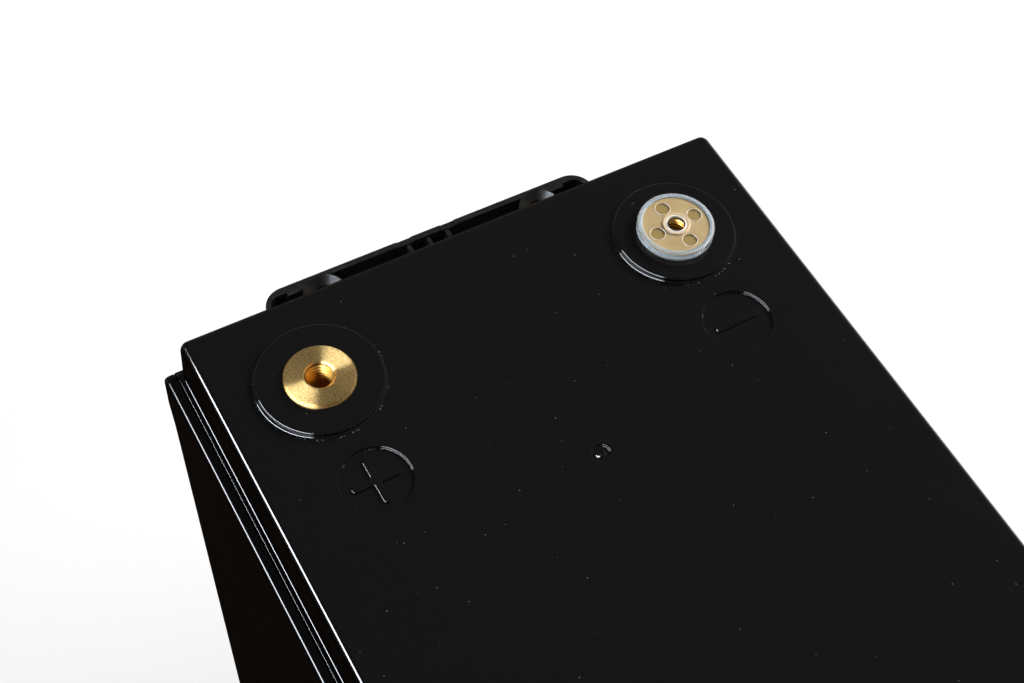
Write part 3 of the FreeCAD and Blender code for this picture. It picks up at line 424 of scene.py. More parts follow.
# The same ABS as the case, from a duller part of the tool: a matt dark grey, paler in patches on its
# upward faces.
grip_abs, tree, shader, here = new_material("moulded_abs_grip")
facing = add(tree, "SeparateXYZ", {"Vector": add(tree, "NewGeometry").outputs["Normal"]})
patch_noise = add(tree, "TexNoise", {"Vector": here, "Scale": 1 / 0.0015, "Detail": 5.0, "Roughness": 0.7})
patch_noise = add(tree, "MapRange", {"Value": patch_noise, "From Min": 0.35, "From Max": 0.75})
# Paler in patches where the faces look up.
upward_patches = add(tree, "Math", {0: patch_noise, 1: facing.outputs["Z"]}, operation="MULTIPLY", use_clamp=True)
tint = add(tree, "Mix", {0: upward_patches, 6: "#100f0e", 7: "#201f1c"}, data_type="RGBA")
rough = add(tree, "MapRange", {"Value": patch_noise, "To Min": 0.35, "To Max": 0.55})
relief = add(tree, "Bump", {"Height": patch_noise, "Strength": 0.2, "Distance": 0.00005})
feed(shader, {"Base Color": tint, "Roughness": rough, "Normal": relief, "IOR": 1.53,
              "Specular IOR Level": 0.3})

finished("grip_far", grip_mesh(), [grip_abs], "case")
bm = grip_mesh()
bmesh.ops.scale(bm, vec=(-1, 1, 1), verts=bm.verts[:])
bmesh.ops.reverse_faces(bm, faces=bm.faces[:])
finished("grip_near", bm, [grip_abs], "case")


# Lid
# One black ABS moulding with a raised tier. It is laid into the collar and welded along the seam, and
# carries two round pads for the terminals, two sunk polarity signs and the marks of two mould gates.

LID_X, LID_TOP_X = 148.0, 147.8
LID_Y, LID_TOP_Y = 80.9, 80.5
LID_CORNER_R, LID_EDGE_R = 2.6, 2.4
LID_Z, LID_UNDER_Z = 217.0, 214.0
LID_IN_X, LID_IN_Y, LID_IN_R = 143.0, 77.0, 3.0
TERMINAL_X, TERMINAL_Y = -120.5, 53.0
PAD_Z, PAD_R, PAD_FOOT_R, PAD_EDGE_R = 218.7, 16.6, 0.7, 0.5
SEAT_R, SEAT_DEPTH = 9.0, 1.2
SOCKET_BORE_R, SOCKET_R, SOCKET_Z = 7.55, 13.0, 203.0
SIGN_X, SIGN_R, SIGN_FLOOR_Z = -88.6, 9.4, 216.2
SIGN_EDGE_R, SIGN_FOOT_R = 0.25, 0.2
SIGN_ARM, SIGN_HALF_WIDTH, SIGN_RISE = 6.75, 1.0, 0.6
SIGN_TIP_R, SIGN_CROTCH_R, SIGN_TOP_R = 0.96, 0.3, 0.4
GATE_X, GATE_R, GATE_EDGE_R = 70.1, 2.5, 0.2
# The floor and the torn nub of a gate mark, as pairs of radius and depth.
GATE_NUB = [(1.3, 0.55), (1.17, 0.45), (1.14, 0.25), (1.0, 0.12), (0.8, 0.15), (0.45, 0.38), (0.15, 0.38),
            (0, 0.3)]
FLANGE_Y, FLANGE_EDGE_R = 82.6, 0.3
FILLET_R, FILLET_X = 0.8, 143.0
SKIRT_X, SKIRT_Y, SKIRT_WALL, SKIRT_R = 142.8, 80.8, 2.0, 3.0
SKIRT_Z, SKIRT_HEIGHT = 196.0, 7.0
LID_RIB_HALF, LID_RIB_Y, LID_RIB_Z0, LID_RIB_Z1 = 1.0, 77.3, 211.6, 214.3


def arc(cx, cz, r, start, end, steps):
    """Points of (radius, z) along an arc of a profile, by angle in degrees."""
    turn = [math.radians(start + (end - start) * i / steps) for i in range(steps + 1)]
    return [(cx + r * math.cos(a), cz + r * math.sin(a)) for a in turn]


def outer_loop(verts, z):
    """The loop of open edges that a turned part shows at a level."""
    return [e for e in level(edges_of(verts), z) if e.is_boundary]


bm = bmesh.new()
block(bm, (-LID_X, -LID_Y, SHELF_Z), (LID_X, LID_Y, LID_Z))
rounded(bm, upright(bm.edges), LID_CORNER_R, CORNER_SEGMENTS)
all_round([v for v in bm.verts if v.co.z > LID_Z - 1], LID_TOP_X - LID_X, LID_TOP_Y - LID_Y)
rounded(bm, level(bm.edges, LID_Z), LID_EDGE_R, 12)
flat = [f for f in bm.faces if f.calc_center_median().z > LID_Z - 0.001]
top_loops = [e for f in flat for e in f.edges]
sole = [f for f in bm.faces if f.calc_center_median().z < SHELF_Z + 0.001]
sole_loops = [e for f in sole for e in f.edges]
bmesh.ops.delete(bm, geom=flat + sole, context="FACES_ONLY")
ceiling_loops = []
for side in (-1, 1):
    profile = arc(PAD_R + PAD_FOOT_R, LID_Z + PAD_FOOT_R, PAD_FOOT_R, -90, -180, 5)
    profile += arc(PAD_R - PAD_EDGE_R, PAD_Z - PAD_EDGE_R, PAD_EDGE_R, 0, 90, 6)
    profile += [(SEAT_R, PAD_Z), (SEAT_R, PAD_Z - SEAT_DEPTH), (SOCKET_BORE_R, PAD_Z - SEAT_DEPTH),
                (SOCKET_BORE_R, SOCKET_Z), (SOCKET_R, SOCKET_Z), (SOCKET_R, LID_UNDER_Z)]
    pad = spun(bm, profile, TERMINAL_X, side * TERMINAL_Y, 128)
    top_loops += outer_loop(pad, LID_Z)
    ceiling_loops += outer_loop(pad, LID_UNDER_Z)
    profile = arc(SIGN_R + SIGN_EDGE_R, LID_Z - SIGN_EDGE_R, SIGN_EDGE_R, 90, 180, 4)
    profile += arc(SIGN_R - SIGN_FOOT_R, SIGN_FLOOR_Z + SIGN_FOOT_R, SIGN_FOOT_R, 0, -90, 4)
    recess = spun(bm, profile + [(0, SIGN_FLOOR_Z)], SIGN_X, side * TERMINAL_Y, 96)
    top_loops += outer_loop(recess, LID_Z)
for x in (-GATE_X, GATE_X):
    profile = arc(GATE_R + GATE_EDGE_R, LID_Z - GATE_EDGE_R, GATE_EDGE_R, 90, 180, 4)
    profile += arc(GATE_R - 0.25, LID_Z - 0.35, GATE_EDGE_R, 0, -90, 4)
    profile += [(r, LID_Z - depth) for r, depth in GATE_NUB]
    top_loops += outer_loop(spun(bm, profile, x, 0, 40), LID_Z)
filled(bm, top_loops)
hollow = block(bm, (-LID_IN_X, -LID_IN_Y, SHELF_Z), (LID_IN_X, LID_IN_Y, LID_UNDER_Z))
corners = rounded(bm, upright(edges_of(hollow)), LID_IN_R, 6)["verts"]
hollow = set(corners) | {v for v in hollow if v.is_valid}
caps = [f for f in faces_of(hollow) if abs(f.normal.z) > 0.9]
for f in caps:
    target = sole_loops if f.calc_center_median().z < SHELF_Z + 1 else ceiling_loops
    target += list(f.edges)
bmesh.ops.delete(bm, geom=caps, context="FACES_ONLY")
for loops in (sole_loops, ceiling_loops):
    filled(bm, loops, -1)

# The flange that fills the collar, rounded with it at the corners, and the small fillet at the foot of
# the tier; below it the skirt that centres the lid and the stiffening ribs.
collar_y = CASE_Y + COLLAR_STEP
flange = block(bm, (-LID_X, -collar_y, SHELF_Z), (LID_X, collar_y, RIM_Z))
rest = set(bm.verts) - set(flange)
rounded(bm, upright(edges_of(flange)), CASE_CORNER_R, CORNER_SEGMENTS)
for side in (-1, 1):
    cut(bm, [v for v in bm.verts if v not in rest], (0, side * FLANGE_Y, 0), (0, side, 0), drop_outer=True)
bmesh.ops.holes_fill(bm, edges=list(edges_of([v for v in bm.verts if v not in rest])), sides=0)
crest = level(edges_of([v for v in bm.verts if v not in rest]), RIM_Z)
rounded(bm, [e for e in crest if abs(e.verts[0].co.y) > FLANGE_Y - 0.1 and e.calc_length() > LONG_EDGE],
        FLANGE_EDGE_R, 3)
shoulder(bm, lambda: [v for v in bm.verts if v not in rest and v.co.z > SHELF_Z + NEAR])
for side in (-1, 1):
    # The tier leans in as it rises, and the fillet sinks a few hundredths into it and the flange.
    foot_y = LID_Y - (LID_Y - LID_TOP_Y) * (RIM_Z - SHELF_Z) / (LID_Z - SHELF_Z) - 0.03
    points = arc(foot_y + FILLET_R, RIM_Z + FILLET_R - 0.02, FILLET_R, 180, 270, 6)
    points.append((foot_y - 0.5, RIM_Z - 0.5))
    verts = [bm.verts.new((-FILLET_X, side * y, z)) for y, z in points]
    fillet = bmesh.ops.extrude_face_region(bm, geom=[bm.faces.new(verts)])["geom"]
    bmesh.ops.translate(bm, vec=(2 * FILLET_X, 0, 0), verts=only(bmesh.types.BMVert, fillet))
skirt = [outline(bm, rectangle(wall - SKIRT_X, wall - SKIRT_Y, SKIRT_X - wall, SKIRT_Y - wall), SKIRT_Z,
                 {corner: SKIRT_R for corner in range(4)}) for wall in (0.0, SKIRT_WALL)]
raised(bm, ring_between(bm, skirt), SKIRT_HEIGHT)
for x in range(-85, 116, 50):
    block(bm, (x - LID_RIB_HALF, -LID_RIB_Y, LID_RIB_Z0), (x + LID_RIB_HALF, LID_RIB_Y, LID_RIB_Z1))


def polarity_sign(bm, y, corners, crotches=()):
    """Raises a sign with rounded ends from the floor of its recess."""
    rest = set(bm.verts)
    radii = {i: SIGN_TIP_R for i in range(len(corners)) if i not in crotches}
    radii |= {i: SIGN_CROTCH_R for i in crotches}
    shape = outline(bm, [(SIGN_X + x, y + across) for x, across in corners], SIGN_FLOOR_Z - 0.2, radii)
    raised(bm, [shape], SIGN_RISE + 0.2)
    top = [e for e in level(bm.edges, SIGN_FLOOR_Z + SIGN_RISE)
           if e.verts[0] not in rest and len(e.link_faces) == 2]
    rounded(bm, top, SIGN_TOP_R, 4)


w, arm = SIGN_HALF_WIDTH, SIGN_ARM
plus = [(-w, -arm), (w, -arm), (w, -w), (arm, -w), (arm, w), (w, w), (w, arm), (-w, arm), (-w, w), (-arm, w),
        (-arm, -w), (-w, -w)]
polarity_sign(bm, TERMINAL_Y, rectangle(-w, -arm, w, arm))
polarity_sign(bm, -TERMINAL_Y, plus, crotches=(2, 5, 8, 11))
matt_sides(bm)


def from_axis(tree, here, x):
    """Where a point lies, seen from above, from the nearer of the two upright axes at an X."""
    place = add(tree, "SeparateXYZ", {"Vector": here}).outputs
    side = add(tree, "Math", {0: place["Y"]}, operation="SIGN")
    axis_y = add(tree, "Math", {0: side, 1: TERMINAL_Y * MM}, operation="MULTIPLY")
    return add(tree, "CombineXYZ", {
        "X": add(tree, "Math", {0: place["X"], 1: x * MM}, operation="SUBTRACT"),
        "Y": add(tree, "Math", {0: place["Y"], 1: axis_y}, operation="SUBTRACT")})


# Polished black ABS: deep gloss, with faint smears, hairline scratches and specks of dust lying on the
# level faces. Dust also gathers at the foot of the pads and in the sunk signs.
DUST_RING_HALF = 0.16
lid_abs, tree, shader, here = new_material("polished_abs_lid")
up = add(tree, "SeparateXYZ", {"Vector": add(tree, "NewGeometry").outputs["Normal"]})
level_face = add(tree, "MapRange", {"Value": up.outputs["Z"], "From Min": 0.95, "From Max": 0.99})
flat_here = add(tree, "VectorMath", {0: here, 1: (1.0, 1.0, 0.0)}, operation="MULTIPLY")
# Specks up to 0.28 mm across, in about three of ten squares of 7 mm.
cells = add(tree, "TexVoronoi", {"Vector": flat_here, "Scale": 1 / 0.007}, voronoi_dimensions="2D")
chance = add(tree, "SeparateColor", {"Color": cells.outputs["Color"]})
size = add(tree, "MapRange", {"Value": chance, "From Min": 0.7, "From Max": 1.0, "To Max": 0.02})
speck = add(tree, "Math", {0: cells, 1: size}, operation="LESS_THAN")
# Grains of 0.4 mm lie in patches of about 6 mm, along a ring round each pad and inside each sign.
grain = add(tree, "TexNoise", {"Vector": here, "Scale": 1 / 0.0004, "Detail": 1.0})
grain = add(tree, "Math", {0: grain, 1: 0.62}, operation="GREATER_THAN")
patch = add(tree, "TexNoise", {"Vector": here, "Scale": 1 / 0.006, "Detail": 1.0})
patch = add(tree, "Math", {0: patch, 1: 0.52}, operation="GREATER_THAN")
grain = add(tree, "Math", {0: grain, 1: patch}, operation="MULTIPLY")
for x, radius in ((TERMINAL_X, PAD_R + 0.75), (SIGN_X, SIGN_R - 0.25)):
    reach = add(tree, "VectorMath", {0: from_axis(tree, here, x)}, operation="LENGTH")
    on_ring = add(tree, "Math", {0: reach, 1: radius * MM, 2: DUST_RING_HALF * MM}, operation="COMPARE")
    on_ring = add(tree, "Math", {0: on_ring, 1: grain}, operation="MULTIPLY")
    speck = add(tree, "Math", {0: speck, 1: on_ring}, operation="MAXIMUM")
speck = add(tree, "Math", {0: speck, 1: level_face}, operation="MULTIPLY")
tint = add(tree, "Mix", {0: speck, 6: "#0d0d0c", 7: "#665f56"}, data_type="RGBA")
smear = add(tree, "TexNoise", {"Vector": here, "Scale": 1 / 0.03, "Detail": 4.0, "Distortion": 0.6})
rough = add(tree, "MapRange", {"Value": smear, "From Min": 0.3, "From Max": 0.7, "To Min": 0.05,
                               "To Max": 0.1})
rough = add(tree, "Math", {0: speck, 1: 0.5, 2: rough}, operation="MULTIPLY_ADD")
# Hairlines along the case, from a noise of 0.4 mm that is drawn out to 17 mm.
hair = add(tree, "Mapping", {"Vector": here, "Scale": (60.0, 2400.0, 60.0), "Rotation": (0.0, 0.0, 0.35)})
hair = add(tree, "TexNoise", {"Vector": hair, "Scale": 1.0, "Detail": 2.0})
hair = add(tree, "MapRange", {"Value": hair, "From Min": 0.68, "From Max": 0.78})
relief = add(tree, "Bump", {"Height": hair, "Strength": 0.12, "Distance": 0.00003})
feed(shader, {"Base Color": tint, "Roughness": rough, "Normal": relief, "IOR": 1.53})

finished("lid_cover", bm, [lid_abs, eroded_abs], "lid")


# Terminals
# Turned brass inserts moulded into the lid: a thin flange on the pad, a blind M8 hole for the cable
# screw, a locking collar inside the socket and a stud below for the inner lug.

THREAD_PITCH, THREAD_MINOR, THREAD_MAJOR = 1.25, 3.325, 3.95
THREAD_END_Z, THREAD_TURNS, THREAD_STEPS = 208.0, 11, 60
DRILL_TIP = 1.5
MOUTH_R = 4.2
DISC_Z, DISC_R, FACE_R = 220.0, 9.35, 9.0
STEM_R, LOCK_R, LOCK_Z0, LOCK_Z1 = 7.5, 9.0, 207.7, 211.7
STUD_R, STUD_Z = 3.9, 188.0


def terminal_mesh(y):
    bm = bmesh.new()
    # One tooth, from crest to root and back, with softened corners.
    tooth = [(THREAD_MINOR, 0.0), (THREAD_MINOR + 0.04, 0.08), (THREAD_MAJOR - 0.04, 0.47),
             (THREAD_MAJOR, 0.55), (THREAD_MAJOR, 0.65), (THREAD_MAJOR - 0.04, 0.73),
             (THREAD_MINOR + 0.04, 1.1), (THREAD_MINOR, 1.18), (THREAD_MINOR, THREAD_PITCH)]
    verts = [bm.verts.new((r, 0, THREAD_END_Z - 1.3 + z)) for r, z in tooth]
    edges = [bm.edges.new(pair) for pair in zip(verts, verts[1:])]
    bmesh.ops.spin(bm, geom=verts + edges, cent=(0, 0, 0), axis=(0, 0, 1), angle=math.tau * THREAD_TURNS,
                   dvec=(0, 0, THREAD_PITCH / THREAD_STEPS), steps=THREAD_STEPS * THREAD_TURNS,
                   use_merge=False)
    bmesh.ops.remove_doubles(bm, verts=bm.verts[:], dist=0.001)
    cut(bm, bm.verts[:], (0, 0, DISC_Z), (0, 0, 1), drop_outer=True)
    cut(bm, bm.verts[:], (0, 0, THREAD_END_Z), (0, 0, -1), drop_outer=True)
    for v in bm.verts:
        reach = max(v.co.xy.length, MOUTH_R - (DISC_Z - v.co.z))
        v.co.xy = v.co.xy.normalized() * reach
    floor = level([e for e in bm.edges if e.is_boundary], THREAD_END_Z)
    tip = only(bmesh.types.BMVert, bmesh.ops.extrude_edge_only(bm, edges=floor)["geom"])
    bmesh.ops.pointmerge(bm, verts=tip, merge_co=(0, 0, THREAD_END_Z - DRILL_TIP))
    edge = [(FACE_R - 0.28, DISC_Z), (FACE_R - 0.1, DISC_Z - 0.05), (FACE_R, DISC_Z - 0.18),
            (FACE_R, DISC_Z - 0.62), (FACE_R + 0.08, DISC_Z - 0.7), (DISC_R - 0.07, DISC_Z - 0.72),
            (DISC_R, DISC_Z - 0.8), (DISC_R, PAD_Z + 0.05), (DISC_R - 0.05, PAD_Z)]
    stem = [(STEM_R, PAD_Z), (STEM_R, LOCK_Z1), (LOCK_R, LOCK_Z1), (LOCK_R, LOCK_Z0), (STEM_R, LOCK_Z0),
            (STEM_R, SOCKET_Z), (STUD_R, SOCKET_Z), (STUD_R, STUD_Z + 1), (STUD_R - 1, STUD_Z), (0, STUD_Z)]
    spun(bm, edge + stem, 0, 0, 120)
    filled(bm, [e for e in bm.edges if e.is_boundary])
    for face in bm.faces:
        middle = face.calc_center_median()
        in_hole = middle.xy.length < MOUTH_R - 0.05 and THREAD_END_Z - 2 < middle.z < DISC_Z - 0.8
        face.material_index = 1 if in_hole else 0
    bmesh.ops.translate(bm, vec=(TERMINAL_X, y, 0), verts=bm.verts[:])
    return bm


# Brass bar, faced on a lathe: the fine rings round the axis stretch each reflection into a wedge, and
# handling marks with a few darker scores break the wedges up.
brass, tree, shader, here = new_material("turned_brass")
outward = from_axis(tree, here, TERMINAL_X)
round_it = add(tree, "VectorMath", {0: outward, 1: (0.0, 0.0, 1.0)}, operation="CROSS_PRODUCT")
across = add(tree, "VectorMath", {0: round_it, 1: add(tree, "NewGeometry").outputs["Normal"]},
             operation="CROSS_PRODUCT")
across = add(tree, "VectorMath", {0: across}, operation="NORMALIZE")
reach = add(tree, "VectorMath", {0: outward}, operation="LENGTH")
mottle = add(tree, "TexNoise", {"Vector": here, "Scale": 1 / 0.0004, "Detail": 3.0, "Roughness": 0.6})
pale = add(tree, "MapRange", {"Value": mottle, "From Min": 0.36, "From Max": 0.6})
tint = add(tree, "Mix", {0: pale, 6: "#c08f38", 7: "#ecd092"}, data_type="RGBA")
scores = add(tree, "Mapping", {"Vector": here, "Rotation": (0.0, 0.0, 0.9),
                               "Scale": (400.0, 5200.0, 400.0)})
scores = add(tree, "TexNoise", {"Vector": scores, "Scale": 1.0, "Detail": 3.0})
scores = add(tree, "MapRange", {"Value": scores, "From Min": 0.6, "From Max": 0.72})
worn = add(tree, "Mix", {0: scores, 6: tint, 7: "#7d5f25"}, data_type="RGBA")
rough = add(tree, "MapRange", {"Value": mottle, "From Min": 0.3, "From Max": 0.7, "To Min": 0.36,
                               "To Max": 0.42})
rough = add(tree, "Math", {0: scores, 1: 0.1, 2: rough}, operation="MULTIPLY_ADD")
# Lathe rings 0.12 mm apart, coarser than the real feed so that they show.
rings = add(tree, "Math", {0: reach, 1: math.tau / 0.00012}, operation="MULTIPLY")
rings = add(tree, "Math", {0: rings}, operation="SINE")
height = add(tree, "Math", {0: scores, 1: -1.5, 2: rings}, operation="MULTIPLY_ADD")
height = add(tree, "Math", {0: mottle, 1: 2.0, 2: height}, operation="MULTIPLY_ADD")
relief = add(tree, "Bump", {"Height": height, "Strength": 0.07, "Distance": 0.00001})
# A thin oxide film leaves a little dull gold between the wedges, so it isn't fully metallic.
feed(shader, {"Base Color": worn, "Roughness": rough, "Normal": relief, "Tangent": across,
              "Metallic": 0.86, "Anisotropic": 0.97})

# The tapped thread of the same brass, cut with oil and never faced: smooth flanks and a warmer gold.
tapped, tree, shader, here = new_material("tapped_brass_thread")
oil = add(tree, "TexNoise", {"Vector": here, "Scale": 1 / 0.001, "Detail": 3.0})
tint = add(tree, "Mix", {0: oil, 6: "#e0a644", 7: "#f0c46c"}, data_type="RGBA")
# The thread's roots are painted a dark brown, as painted shade deep in the thread.
reach = add(tree, "VectorMath", {0: from_axis(tree, here, TERMINAL_X)}, operation="LENGTH")
root = add(tree, "MapRange", {"Value": reach, "From Min": 0.0035, "From Max": 0.00385})
tint = add(tree, "Mix", {0: root, 6: tint, 7: "#6b3d0e"}, data_type="RGBA")
rough = add(tree, "MapRange", {"Value": oil, "To Min": 0.26, "To Max": 0.36})
feed(shader, {"Base Color": tint, "Roughness": rough, "Metallic": 1.0})

for name, node, side in (("terminal_positive_turned", "terminal_positive", -1),
                         ("terminal_negative_turned", "terminal_negative", 1)):
    finished(name, terminal_mesh(side * TERMINAL_Y), [brass, tapped], node)


# Press-on cap
# Milky polyethylene cap pressed over the negative terminal so that nothing touches it in transit. It
# has a knurled wall, a raised rim, a hub with an open hole and the round marks of four ejector pins.

CAP_R, CAP_ROOT_R, CAP_IN_R = 10.55, 10.12, 9.5
CAP_TEETH = 84
STEPS_PER_TOOTH = 4
CAP_TOP_Z, CAP_UNDER_Z, CAP_FLOOR_Z = 221.5, 220.1, 221.1
HUB_R, HUB_FOOT_R, HUB_EDGE_R = 3.75, 0.15, 0.25
HUB_LIP_AT, HUB_LIP_R, HUB_HOLE_R = 2.62, 0.14, 2.45
PIN_AT, PIN_R, PIN_DEPTH, PIN_RING = 6.2, 1.95, 0.25, 0.14
PIN_TURN = math.radians(5)

bm = bmesh.new()
inside = [(CAP_IN_R, CAP_UNDER_Z), (CAP_IN_R, PAD_Z + 0.1), (CAP_IN_R + 0.1, PAD_Z + 0.02)]
outside = [(CAP_ROOT_R - 0.15, PAD_Z + 0.02), (CAP_ROOT_R, PAD_Z + 0.2), (CAP_ROOT_R, CAP_TOP_Z - 0.25)]
brim = [(CAP_ROOT_R - 0.08, CAP_TOP_Z - 0.07), (CAP_ROOT_R - 0.28, CAP_TOP_Z),
        (CAP_ROOT_R - 0.8, CAP_TOP_Z - 0.03), (CAP_ROOT_R - 0.92, CAP_TOP_Z - 0.12),
        (CAP_ROOT_R - 0.96, CAP_FLOOR_Z)]
wall = spun(bm, inside + outside + brim, 0, 0, CAP_TEETH * STEPS_PER_TOOTH)
for v in wall:
    if v.co.xy.length > CAP_ROOT_R - 0.2:
        step = round(math.atan2(v.co.y, v.co.x) / math.tau * CAP_TEETH * STEPS_PER_TOOTH) % STEPS_PER_TOOTH
        tall = CAP_R - CAP_ROOT_R if step in (1, 2) else 0.0
        v.co.xy = v.co.xy.normalized() * (v.co.xy.length + tall)
hub = spun(bm, [(HUB_R + HUB_FOOT_R, CAP_FLOOR_Z)]
           + arc(HUB_R + HUB_FOOT_R, CAP_FLOOR_Z + HUB_FOOT_R, HUB_FOOT_R, -90, -180, 3)
           + arc(HUB_R - HUB_EDGE_R, CAP_TOP_Z - HUB_EDGE_R, HUB_EDGE_R, 0, 90, 5)
           + [(HUB_LIP_AT + 0.23, CAP_TOP_Z - 0.16)]
           + arc(HUB_LIP_AT, CAP_TOP_Z - HUB_LIP_R, HUB_LIP_R, 30, 180, 6)
           + [(HUB_HOLE_R, CAP_UNDER_Z)], 0, 0, 72)
floor_loops = outer_loop(wall, CAP_FLOOR_Z) + outer_loop(hub, CAP_FLOOR_Z)
under_loops = outer_loop(wall, CAP_UNDER_Z) + outer_loop(hub, CAP_UNDER_Z)
for k in range(4):
    a = k * math.pi / 2 + PIN_TURN
    pin = spun(bm, [(PIN_R + 2 * PIN_RING, CAP_FLOOR_Z), (PIN_R + PIN_RING, CAP_FLOOR_Z + PIN_RING),
                    (PIN_R, CAP_FLOOR_Z + 0.02), (PIN_R - 0.05, CAP_FLOOR_Z - PIN_DEPTH),
                    (0, CAP_FLOOR_Z - PIN_DEPTH)], PIN_AT * math.cos(a), PIN_AT * math.sin(a), 40)
    floor_loops += outer_loop(pin, CAP_FLOOR_Z)
for loops in (floor_loops, under_loops):
    filled(bm, loops)
closed(bm)
for face in bm.faces:
    middle, n = face.calc_center_median(), face.normal
    at_rim = middle.xy.length > CAP_ROOT_R - 1.0
    outward = n.z < 0.35 and n.xy.dot(middle.xy) > 0
    face.material_index = (2 if outward else 1) if at_rim else 0
bmesh.ops.translate(bm, vec=(TERMINAL_X, TERMINAL_Y, 0), verts=bm.verts[:])

# Natural polyethylene, injection moulded. The thin web lies just over the brass; the brass seen through
# it is painted into its colour as a warm tint. The hub is paler. Its lip and the raised rings round the
# pin marks are painted highlights where they catch light, and the sunk pin marks carry painted shade.
cap_web, tree, shader, here = new_material("natural_polyethylene_web")
hub_middle = (TERMINAL_X * MM, TERMINAL_Y * MM, CAP_FLOOR_Z * MM)
reach = add(tree, "VectorMath", {0: here, 1: hub_middle}, operation="DISTANCE")
height = add(tree, "SeparateXYZ", {"Vector": here}).outputs["Z"]
haze = add(tree, "TexNoise", {"Vector": here, "Scale": 1 / 0.006, "Detail": 2.0})
tint = add(tree, "Mix", {0: haze, 6: "#a68a58", 7: "#cfb88c"}, data_type="RGBA")
shares = []
# The hub paler, its lip and hole a near-white painted highlight, the floor of each sunk pin mark painted
# shade.
for value, full, none, tone in ((reach, HUB_R + 0.05, HUB_R + 0.35, "#dcc39d"),
                                (reach, HUB_R - 0.95, HUB_R - 0.75, "#fffdf8"),
                                (height, CAP_FLOOR_Z - 0.25, CAP_FLOOR_Z - 0.15, "#9c8650")):
    share = add(tree, "MapRange", {"Value": value, "From Min": full * MM, "From Max": none * MM,
                                   "To Min": 1.0, "To Max": 0.0})
    tint = add(tree, "Mix", {0: share, 6: tint, 7: tone}, data_type="RGBA")
    shares.append(share)
# A painted highlight on the raised rings round the pin marks.
ring_highlight = add(tree, "MapRange", {"Value": height, "From Min": (CAP_FLOOR_Z + 0.01) * MM,
                                     "From Max": (CAP_FLOOR_Z + 0.07) * MM})
ring_highlight = add(tree, "Math", {0: ring_highlight, 1: shares[0]}, operation="SUBTRACT", use_clamp=True)
tint = add(tree, "Mix", {0: ring_highlight, 6: tint, 7: "#fff4de"}, data_type="RGBA")
rough = add(tree, "MapRange", {"Value": haze, "To Min": 0.28, "To Max": 0.38})
feed(shader, {"Base Color": tint, "Roughness": rough, "IOR": 1.51, "Transmission Weight": 0.22})

# The thick rim gathers light from all round and is a cool, milky white. The crests of its knurl take
# more light than the groove inside them.
cap_rim, tree, shader, here = new_material("natural_polyethylene_rim")
haze = add(tree, "TexNoise", {"Vector": here, "Scale": 1 / 0.004, "Detail": 3.0})
tint = add(tree, "Mix", {0: haze, 6: "#a5b1ba", 7: "#c3cdd4"}, data_type="RGBA")
rim_middle = (TERMINAL_X * MM, TERMINAL_Y * MM, CAP_TOP_Z * MM)
reach = add(tree, "VectorMath", {0: here, 1: rim_middle}, operation="DISTANCE")
crest = add(tree, "MapRange", {"Value": reach, "From Min": (CAP_ROOT_R - 0.17) * MM,
                               "From Max": (CAP_ROOT_R + 0.13) * MM})
tint = add(tree, "Mix", {0: crest, 6: tint, 7: "#f6f9fa"}, data_type="RGBA")
rough = add(tree, "MapRange", {"Value": haze, "To Min": 0.15, "To Max": 0.25})
feed(shader, {"Base Color": tint, "Roughness": rough, "IOR": 1.51, "Transmission Weight": 0.45})

# The same polyethylene in the cap's thin outer wall, glossy and almost clear.
cap_wall = clouded("natural_polyethylene_wall", 0.003, 2.0, "#dde3e6", "#eef2f4", (0.06, 0.14),
                   {"IOR": 1.51, "Transmission Weight": 0.95})

finished("press_cap", bm, [cap_web, cap_rim, cap_wall], "terminal_cap")


# Seals and nuts under the terminals
# A nitrile rubber ring under each brass flange keeps water out, and a zinc-plated steel nut on each
# stud clamps the inner lug against the socket. Both are hidden under the terminals and the lid.


def dress(material, *names):
    """Gives CAD nodes that keep their shape their finish."""
    for name in names:
        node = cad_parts[name]
        node.data.materials.clear()
        node.data.materials.append(material)


# Moulded nitrile, matt and slightly bloomed.
nitrile = clouded("nitrile_rubber", 0.002, 4.0, "#141414", "#26261f", 0.6, {"IOR": 1.52})

# Steel from the zinc bath: pale, with soft spangles of 1.2 mm that differ in gloss.
zinc, tree, shader, here = new_material("zinc_plated_steel")
spangle = add(tree, "TexVoronoi", {"Vector": here, "Scale": 1 / 0.0012})
share = add(tree, "MapRange", {"Value": spangle})
tint = add(tree, "Mix", {0: share, 6: "#b9bec4", 7: "#d3d6d8"}, data_type="RGBA")
rough = add(tree, "MapRange", {"Value": spangle, "To Min": 0.25, "To Max": 0.4})
feed(shader, {"Base Color": tint, "Roughness": rough, "Metallic": 1.0})

dress(nitrile, "seal_positive", "seal_negative")
dress(zinc, "terminal_nuts", "pole_bolts", "tab_bolt", "bms_screws", "bms_block_bolts")


# Cells
# Four prismatic lithium iron phosphate cells: drawn aluminium cans wrapped in blue polyester film, with
# glass-fibre sheets between them, pressed between aluminium end plates by two stainless steel bands.

# Shrunk polyester film: glossy, with slow waves from the wrapping.
film, tree, shader, here = new_material("blue_polyester_film")
wrap = add(tree, "TexNoise", {"Vector": here, "Scale": 1 / 0.02, "Detail": 3.0})
tint = add(tree, "Mix", {0: wrap, 6: "#15489c", 7: "#1f5cb8"}, data_type="RGBA")
relief = add(tree, "Bump", {"Height": wrap, "Strength": 0.2, "Distance": 0.0003})
feed(shader, {"Base Color": tint, "Normal": relief, "Roughness": 0.22, "IOR": 1.6})

